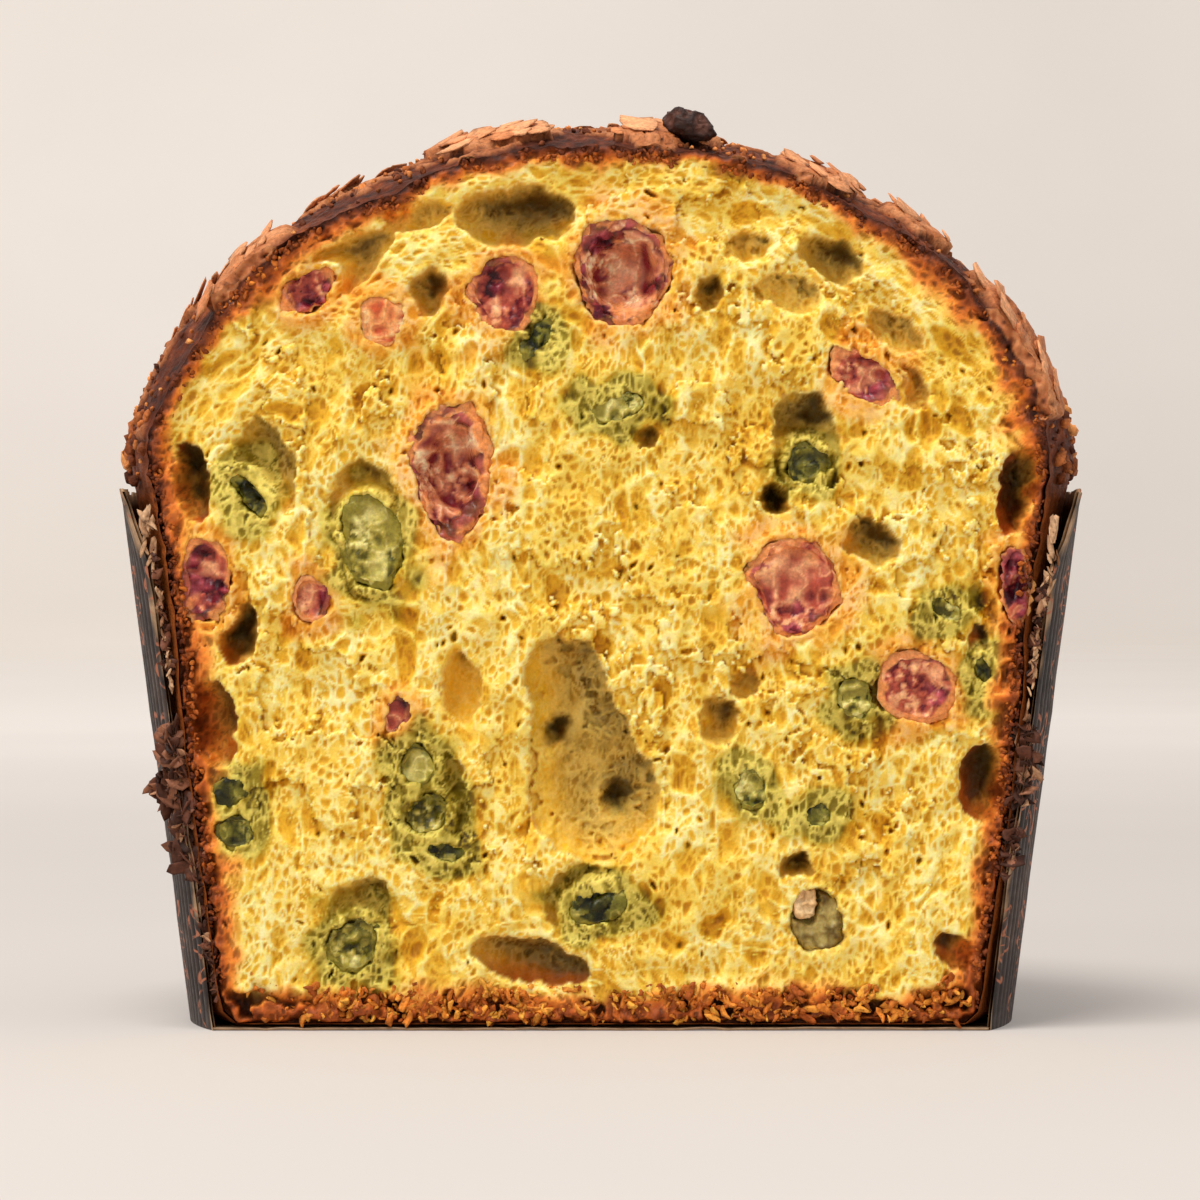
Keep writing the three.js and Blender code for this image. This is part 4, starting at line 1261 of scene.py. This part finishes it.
def case_wall():
    """Both faces of the pleated wall, as one band that runs over the rim."""
    columns = int(PLEATS * PLEAT_POINTS * CASE_SHARE)
    up = np.linspace(0, 1, WALL_ROWS)
    heights = np.concatenate([up, up[::-1]]) * RIM_HEIGHT
    inner = np.repeat([0.0, 1.0], WALL_ROWS)
    share = np.linspace(0, 1, columns)
    z, t = np.meshgrid(heights, share, indexing="ij")
    inward = np.repeat(inner[:, None], columns, 1)
    edge = np.arccos(CUT / (case_outer(z) - SHEET * inward))
    torn = 0.55 * noise(0 * z, 40 * np.sign(t - 0.5), z, 2.2, 71) / case_outer(z)
    near = smooth(0.012, 0.0, np.minimum(t, 1 - t))
    edge = np.maximum(edge + torn * near + 0.004, np.arccos(CUT / case_outer(z)))
    turn = edge + t * (2 * np.pi - 2 * edge)
    uneven = 0.35 * noise(turn * 30, 0, z, 14, 72) * smooth(8, 40, z)
    radius = pleated_radius(turn, z) - SHEET * inward - np.abs(uneven)
    ragged = 1.2 * np.abs(noise(turn * 90, 0, 0 * z, 3.0, 73)) * (z >= RIM_HEIGHT - 1e-6)
    points = np.stack([radius * np.sin(turn), -radius * np.cos(turn), z - ragged], 2)
    return points, inward, turn, z, t


def case_colours(inward, turn, z, t):
    """Dark paper, darker in the valleys of its pleats and on its inside as painted shade, and pale
    where it is torn.
    """
    tone = 0.45 + 0.5 * rough(turn * 92, 0, z, 9, 74)
    # Painted shade in the valleys of the pleats
    valley_shade = 1 - np.abs(np.cos(turn * PLEATS / 2))
    outside = shade_along(PAPER_TONES, tone - 0.5 * valley_shade)
    # Painted shade on the inside of the paper
    inside = SHADED_PAPER_INSIDE * (0.5 + 0.6 * tone)[:, None]
    colours = blend_colours(outside, inside, inward)
    frayed = 0.006 * smooth(62, 96, z) + 0.003
    torn = smooth(frayed, 0.0, np.minimum(t, 1 - t) + frayed * noise(0 * z, 0, z, 2.5, 75))
    colours = blend_colours(colours, PAPER_TORN * 0.8, 0.85 * torn)
    lip = (z > RIM_HEIGHT - 1.2).astype(float)
    return blend_colours(colours, PAPER_TORN * 0.55, 0.6 * lip)


def case_look():
    """Dark ribbed paper with copper rosettes on a lattice, joined by fine leafy lines."""
    look = Look("case paper", Specular_IOR_Level=0.3)
    around = look.attribute("around", "Fac")
    height = look.attribute("height", "Fac")
    printed = look.attribute("printed", "Fac")
    motif = rosettes(look, around, height)
    tint = look.varied(1.4, 0.75, 1.25)
    worn = look.range(look.noise(1.6), 0.36, 0.52)
    share = look.math("MULTIPLY", look.math("MULTIPLY", motif, printed), worn)
    look.colour(look.mix(share, tint, (*COPPER, 1.0)))
    look.roughness(2.0, 0.38, 0.6)
    look.bump(look.noise(0.5, 3.0), 0.15, 0.6)
    return look.material


ROSETTE_SPACING = 34.0
ROSETTE_RADIUS = 12.5
PETALS = 10
PETAL_DEPTH = 2.6
STEM_SWING = 5.0


def rosettes(look, around, height):
    """1 on the lines of the printed pattern, from places on the paper in millimetres."""
    def cell(value):
        wrapped = look.math("WRAP", value, ROSETTE_SPACING / 2)
        wrapped.node.inputs[2].default_value = -ROSETTE_SPACING / 2
        return wrapped

    def line(value, width):
        return look.range(look.math("ABSOLUTE", value), width, width * 0.6)

    row = look.math("FLOOR", look.math("DIVIDE", height, ROSETTE_SPACING))
    shift = look.math("MULTIPLY", look.math("FLOORED_MODULO", row, 2.0), ROSETTE_SPACING / 2)
    u = cell(look.math("ADD", around, shift))
    v = cell(look.math("SUBTRACT", height, ROSETTE_SPACING / 2))
    squares = look.math("MULTIPLY", u, u), look.math("MULTIPLY", v, v)
    far = look.math("SQRT", look.math("ADD", *squares))
    angle = look.math("ARCTAN2", v, u)
    wave = look.math("COSINE", look.math("MULTIPLY", angle, float(PETALS)))
    petal = look.math("MULTIPLY", wave, PETAL_DEPTH)
    petal = look.math("ADD", petal, ROSETTE_RADIUS - PETAL_DEPTH)
    outer = line(look.math("SUBTRACT", far, petal), 0.8)
    inner = line(look.math("SUBTRACT", far, look.math("MULTIPLY", petal, 0.42)), 0.6)
    spoke = look.math("SINE", look.math("MULTIPLY", angle, PETALS / 2))
    spokes = line(look.math("MULTIPLY", spoke, far), 0.7)
    within = look.math("LESS_THAN", far, ROSETTE_RADIUS - 3.0)
    beyond = look.math("GREATER_THAN", far, 2.2)
    spokes = look.math("MULTIPLY", look.math("MULTIPLY", spokes, within), beyond)
    eye = look.math("LESS_THAN", far, 1.3)
    bend = look.math("SINE", look.math("MULTIPLY", height, 0.37))
    bent = look.math("ADD", around, look.math("MULTIPLY", bend, STEM_SWING))
    stem = line(cell(look.math("ADD", bent, ROSETTE_SPACING / 4)), 0.55)
    clear = look.math("GREATER_THAN", far, ROSETTE_RADIUS + 0.8)
    stem = look.math("MULTIPLY", stem, clear)
    total = outer
    for part in (inner, spokes, eye, stem):
        total = look.math("MAXIMUM", total, part)
    return total


TORN_PLACES = [
    # side, height, half height and reach outward of the torn, crumpled paper
    (-1, 48, 6.0, 8.0), (-1, 37.5, 8.0, 5.0), (-1, 56.5, 4.5, 4.2), (-1, 18, 12.0, 1.0),
    (1, 53, 8.0, 4.0), (1, 37, 5.5, 2.6), (1, 80, 10.0, 0.6), (-1, 84, 12.0, 0.6),
]
FRAYED_PLACES = [(-1, 96, 9.0, 2.6), (-1, 78, 10.0, 1.2), (1, 93, 8.0, 2.6), (1, 72, 9.0, 1.2)]
SCRAP_HALF = 0.16  # half thickness of a scrap


def make_torn_paper(name, places, tones, each, channel, half, deep, upright=0.0):
    """Bits of paper round some places at the cut, up to deep behind it. half gives the least
    half length of a bit and how much longer the longest is."""
    spots, sizes, tints, facing = [], [], [], []
    least, more = half
    for number, (side, height, high, far) in enumerate(places):
        lot, second = lots(each, channel + 2 * number), lots(each, channel + 2 * number + 1)
        up = 2 * lot[:, 0] - 1
        z = height + high * up
        reach = np.sqrt(case_outer(z) ** 2 - CUT**2)
        x = side * (reach - 1.5 + (far - 0.6) * lot[:, 1] * (1 - up**2))
        spots.append(np.stack([x, -CUT + 0.4 + deep * second[:, 0], z], 1))
        long = (least + more * second[:, 1] ** 2) * (0.4 + 0.6 * min(1, far / 3))
        sizes.append(np.stack([long, long * (0.5 - 0.1 * upright), 0 * long + SCRAP_HALF], 1))
        tints.append(shade_along(tones, lot[:, 2]))
        facing.append(np.tile([-side * 0.3, -1.0, 0.2], (each, 1)))
    make_bits(name, "paper", dry_look(name, 0.4, 0.7, 0.2),
              *(np.concatenate(v) for v in (spots, facing, sizes, tints)), channel + 40,
              corners=8, tilt=0.9 - 0.2 * upright, bend=2.0, node="case", upright=upright)


def make_paper_scraps():
    """Crumpled scraps of the case where the knife tore it, and its pale torn fibres."""
    make_torn_paper("paper_scraps", TORN_PLACES, SCRAP_TONES, 60, 120, (1.4, 2.2), 3.0)
    make_torn_paper("paper_fibres", FRAYED_PLACES, FIBRE_TONES, 20, 140, (1.3, 1.9), 0.6, 2.0)


def make_case():
    """The pleated wall and the floor of the paper case as one mesh, with its printed side."""
    points, inward, turn, z, t = case_wall()
    rows, columns = z.shape
    flat = spread_flap(points.reshape(-1, 3))
    faces, row, column = grid_faces(rows, columns)
    base_points, base_faces = case_base()
    mesh = mesh_of("case", np.concatenate([flat, base_points]),
                   np.concatenate([faces, base_faces + len(flat)]))
    colours = case_colours(inward.ravel(), turn.ravel(), z.ravel(), t.ravel())
    bottom = np.tile(PAPER_TORN * 0.45, (len(base_points), 1))
    set_colours(mesh, np.concatenate([colours, bottom]))
    on_base = np.zeros(len(base_points))
    fields = {"around": turn * MEAN_RADIUS, "height": z, "printed": 1 - inward}
    for name, values in fields.items():
        set_numbers(mesh, name, np.concatenate([values.ravel(), on_base]))
    wall_map = np.stack([column / columns, WALL_SHARE * row / rows], 2).reshape(-1, 2)
    x, y = base_points[base_faces.ravel(), :2].T
    back = (y + CUT) / (RIM_RADIUS + CUT)
    base_map = np.stack([(x / RIM_RADIUS + 1) / 2, BASE_START + (1 - BASE_START) * back], 1)
    set_map(mesh, np.concatenate([wall_map, base_map]))
    add_piece("case_paper", mesh, case_look(), "case")


def case_base():
    """The case's floor: a thin sheet whose cut front edge is slightly wavy."""
    rows, columns = 24, 120
    y = np.linspace(0, 1, rows)[:, None] * (BASE_RADIUS + CUT) - CUT
    wide = np.sqrt(np.maximum(BASE_RADIUS**2 - y**2, 0.05))
    x = wide * np.linspace(-1, 1, columns)[None, :]
    y = np.repeat(y, columns, 1)
    front = smooth(-CUT + 6, -CUT, y)
    wave = 0.35 * np.abs(noise(x, 0, 0, 7, 76)) * front
    low = np.stack([x, y, wave], 2).reshape(-1, 3)
    high = np.stack([x, y, wave + FLOOR_SHEET], 2).reshape(-1, 3)
    faces, _, _ = grid_faces(rows, columns)
    edge = np.arange(columns - 1)
    front_strip = np.stack([edge, edge + 1, edge + 1 + len(low), edge + len(low)], 1)
    faces = np.concatenate([faces[:, ::-1], faces + len(low), front_strip])
    return np.concatenate([low, high]), faces


# The stage

SCALE = 5.0  # pixels of the photo per millimetre at the cut
FRAME_PIXELS = 1200
CAMERA_DISTANCE = 1000.0  # in front of the cut
HORIZON_HEIGHT = 92.2  # of the camera above the table
AIM_HEIGHT = 86.2  # on the cut, at the middle of the picture
AIM_SIDE = -0.2
SENSOR = 36.0
CLIP = (0.05, 30.0)  # nearest and farthest that the camera sees, in metres
TABLE_DEPTH = 5200.0  # behind the loaf, where the backdrop starts to rise
SWEEP = 1500.0  # radius of the bend up
WALL_TONE = light(243, 235, 227)
TABLE_TONE = light(242, 233, 226)
# A darker band where the table meets the sweep, as painted shade
SHADED_BAND_TONE = light(235, 226, 217)
# The backdrop is painted darker near the loaf, as painted shade
LAMP_LIT = 0.6  # share of its tone that the backdrop has where the lamps light it
BACKDROP_FRONT = -1500.0
BACKDROP_HALF = 5000.0
BACKDROP_HEIGHT = 5000.0
# The backdrop glows with its own tone: painted light
BACKDROP_GLOW = 0.27
LAMPS = [
    # name, place in metres, width and height, and power
    ("top softbox", (-0.3, -0.5, 1.6), (0.7, 0.7), 20),
    ("front softbox", (-1.2, -2.0, 1.3), (1.2, 1.2), 10),
]
LAMP_TARGET = (0, 0, 0.09)
LAMP_TONE = (1.0, 0.985, 0.96)
SKY_TONE = (1.0, 0.985, 0.965, 1.0)
SKY_STRENGTH = 0.62


def make_stage():
    """A pale backdrop that lies under the loaf and sweeps up far behind it."""
    near = np.linspace(BACKDROP_FRONT, TABLE_DEPTH, 40)
    flat = [(y, 0.0) for y in near]
    bend = [(TABLE_DEPTH + SWEEP * math.sin(a), SWEEP - SWEEP * math.cos(a))
            for a in np.linspace(0, math.pi / 2, 24)[1:]]
    wall = [(TABLE_DEPTH + SWEEP, z) for z in np.linspace(SWEEP, BACKDROP_HEIGHT, 12)[1:]]
    line = np.array(flat + bend + wall)
    wide = np.linspace(-BACKDROP_HALF, BACKDROP_HALF, 41)
    points = np.array([(x, y, z) for y, z in line for x in wide])
    faces, _, _ = grid_faces(len(line), len(wide))
    mesh = mesh_of("backdrop", points, faces)
    x, y, z = points.T
    tint = blend_colours(TABLE_TONE, WALL_TONE, smooth(60, 700, z))
    tint = blend_colours(tint, SHADED_BAND_TONE, 0.8 * smooth(900, TABLE_DEPTH, y) * smooth(500, 40, z))
    # Painted shade: darker to the right, and darker near the loaf where the lamps light it most
    darker = 1 - 0.1 * smooth(-600, 900, x)
    darker = darker * mixed(LAMP_LIT, 1, smooth(250, 2200, np.hypot(x, y)))
    set_colours(mesh, tint * darker[:, None])
    look = Look("backdrop", Roughness=0.9, Specular_IOR_Level=0.1,
                Emission_Strength=BACKDROP_GLOW)
    cloudy = look.range(look.noise(380.0, 2.0), 0.3, 0.7, 0.985, 1.015)
    tint = look.scaled(look.attribute("tint"), cloudy)
    look.colour(tint)
    look.feed(look.shader.inputs["Emission Color"], tint)
    new_object("backdrop", mesh, look.material)


def aimed(from_point, to_point):
    """The rotation that turns a lamp or camera from one point to look at another."""
    return (Vector(to_point) - Vector(from_point)).to_track_quat("-Z", "Y").to_euler()


def make_lights():
    """Two softboxes and an even pale sky."""
    for name, at, size, power in LAMPS:
        lamp = bpy.data.lights.new(name, "AREA")
        lamp.shape = "RECTANGLE"
        lamp.size, lamp.size_y = size
        lamp.energy = power
        lamp.color = LAMP_TONE
        holder = bpy.data.objects.new(name, lamp)
        holder.location = at
        holder.rotation_euler = aimed(at, LAMP_TARGET)
        bpy.context.scene.collection.objects.link(holder)
    world = bpy.data.worlds.new("studio")
    world.use_nodes = True
    sky = world.node_tree.nodes["Background"]
    sky.inputs["Color"].default_value = SKY_TONE
    sky.inputs["Strength"].default_value = SKY_STRENGTH
    bpy.context.scene.world = world
    bpy.context.scene.view_settings.view_transform = "Standard"


def make_camera():
    """A camera in front of the cut, at the photo's scale and height."""
    data = bpy.data.cameras.new("camera")
    data.sensor_width = SENSOR
    data.lens = SENSOR * CAMERA_DISTANCE * SCALE / FRAME_PIXELS
    data.clip_start, data.clip_end = CLIP
    camera = bpy.data.objects.new("camera", data)
    bpy.context.scene.collection.objects.link(camera)
    at = Vector((AIM_SIDE, -CUT - CAMERA_DISTANCE, HORIZON_HEIGHT)) * MM
    aim = Vector((AIM_SIDE, -CUT, AIM_HEIGHT)) * MM
    camera.location = at
    camera.rotation_euler = aimed(at, aim)
    bpy.context.scene.camera = camera


def main():
    make_camera()
    make_stage()
    make_lights()
    tree = tree_of("bread")
    outline = make_crust(tree)
    make_face(outline)
    make_flakes(tree)
    make_crust_crumbs(tree)
    make_edge_bits(outline)
    materials = {"red": fruit_look("red fruit", 0.1), "green": fruit_look("green fruit", 0.08)}
    for node in sorted(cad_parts):
        if node.split("_")[0] in materials:
            make_fruit(node, materials)
    make_raisin("raisin_top", dry_look("raisin", 0.3, 0.6, 0.4), DARK_RAISIN)
    make_raisin("raisin_01", materials["green"], OLIVE_RAISIN)
    make_raisin("nut_01", dry_look("nut", 0.45, 0.7, 0.3), NUT, FINE_VOXEL)
    make_case()
    make_paper_scraps()


main()
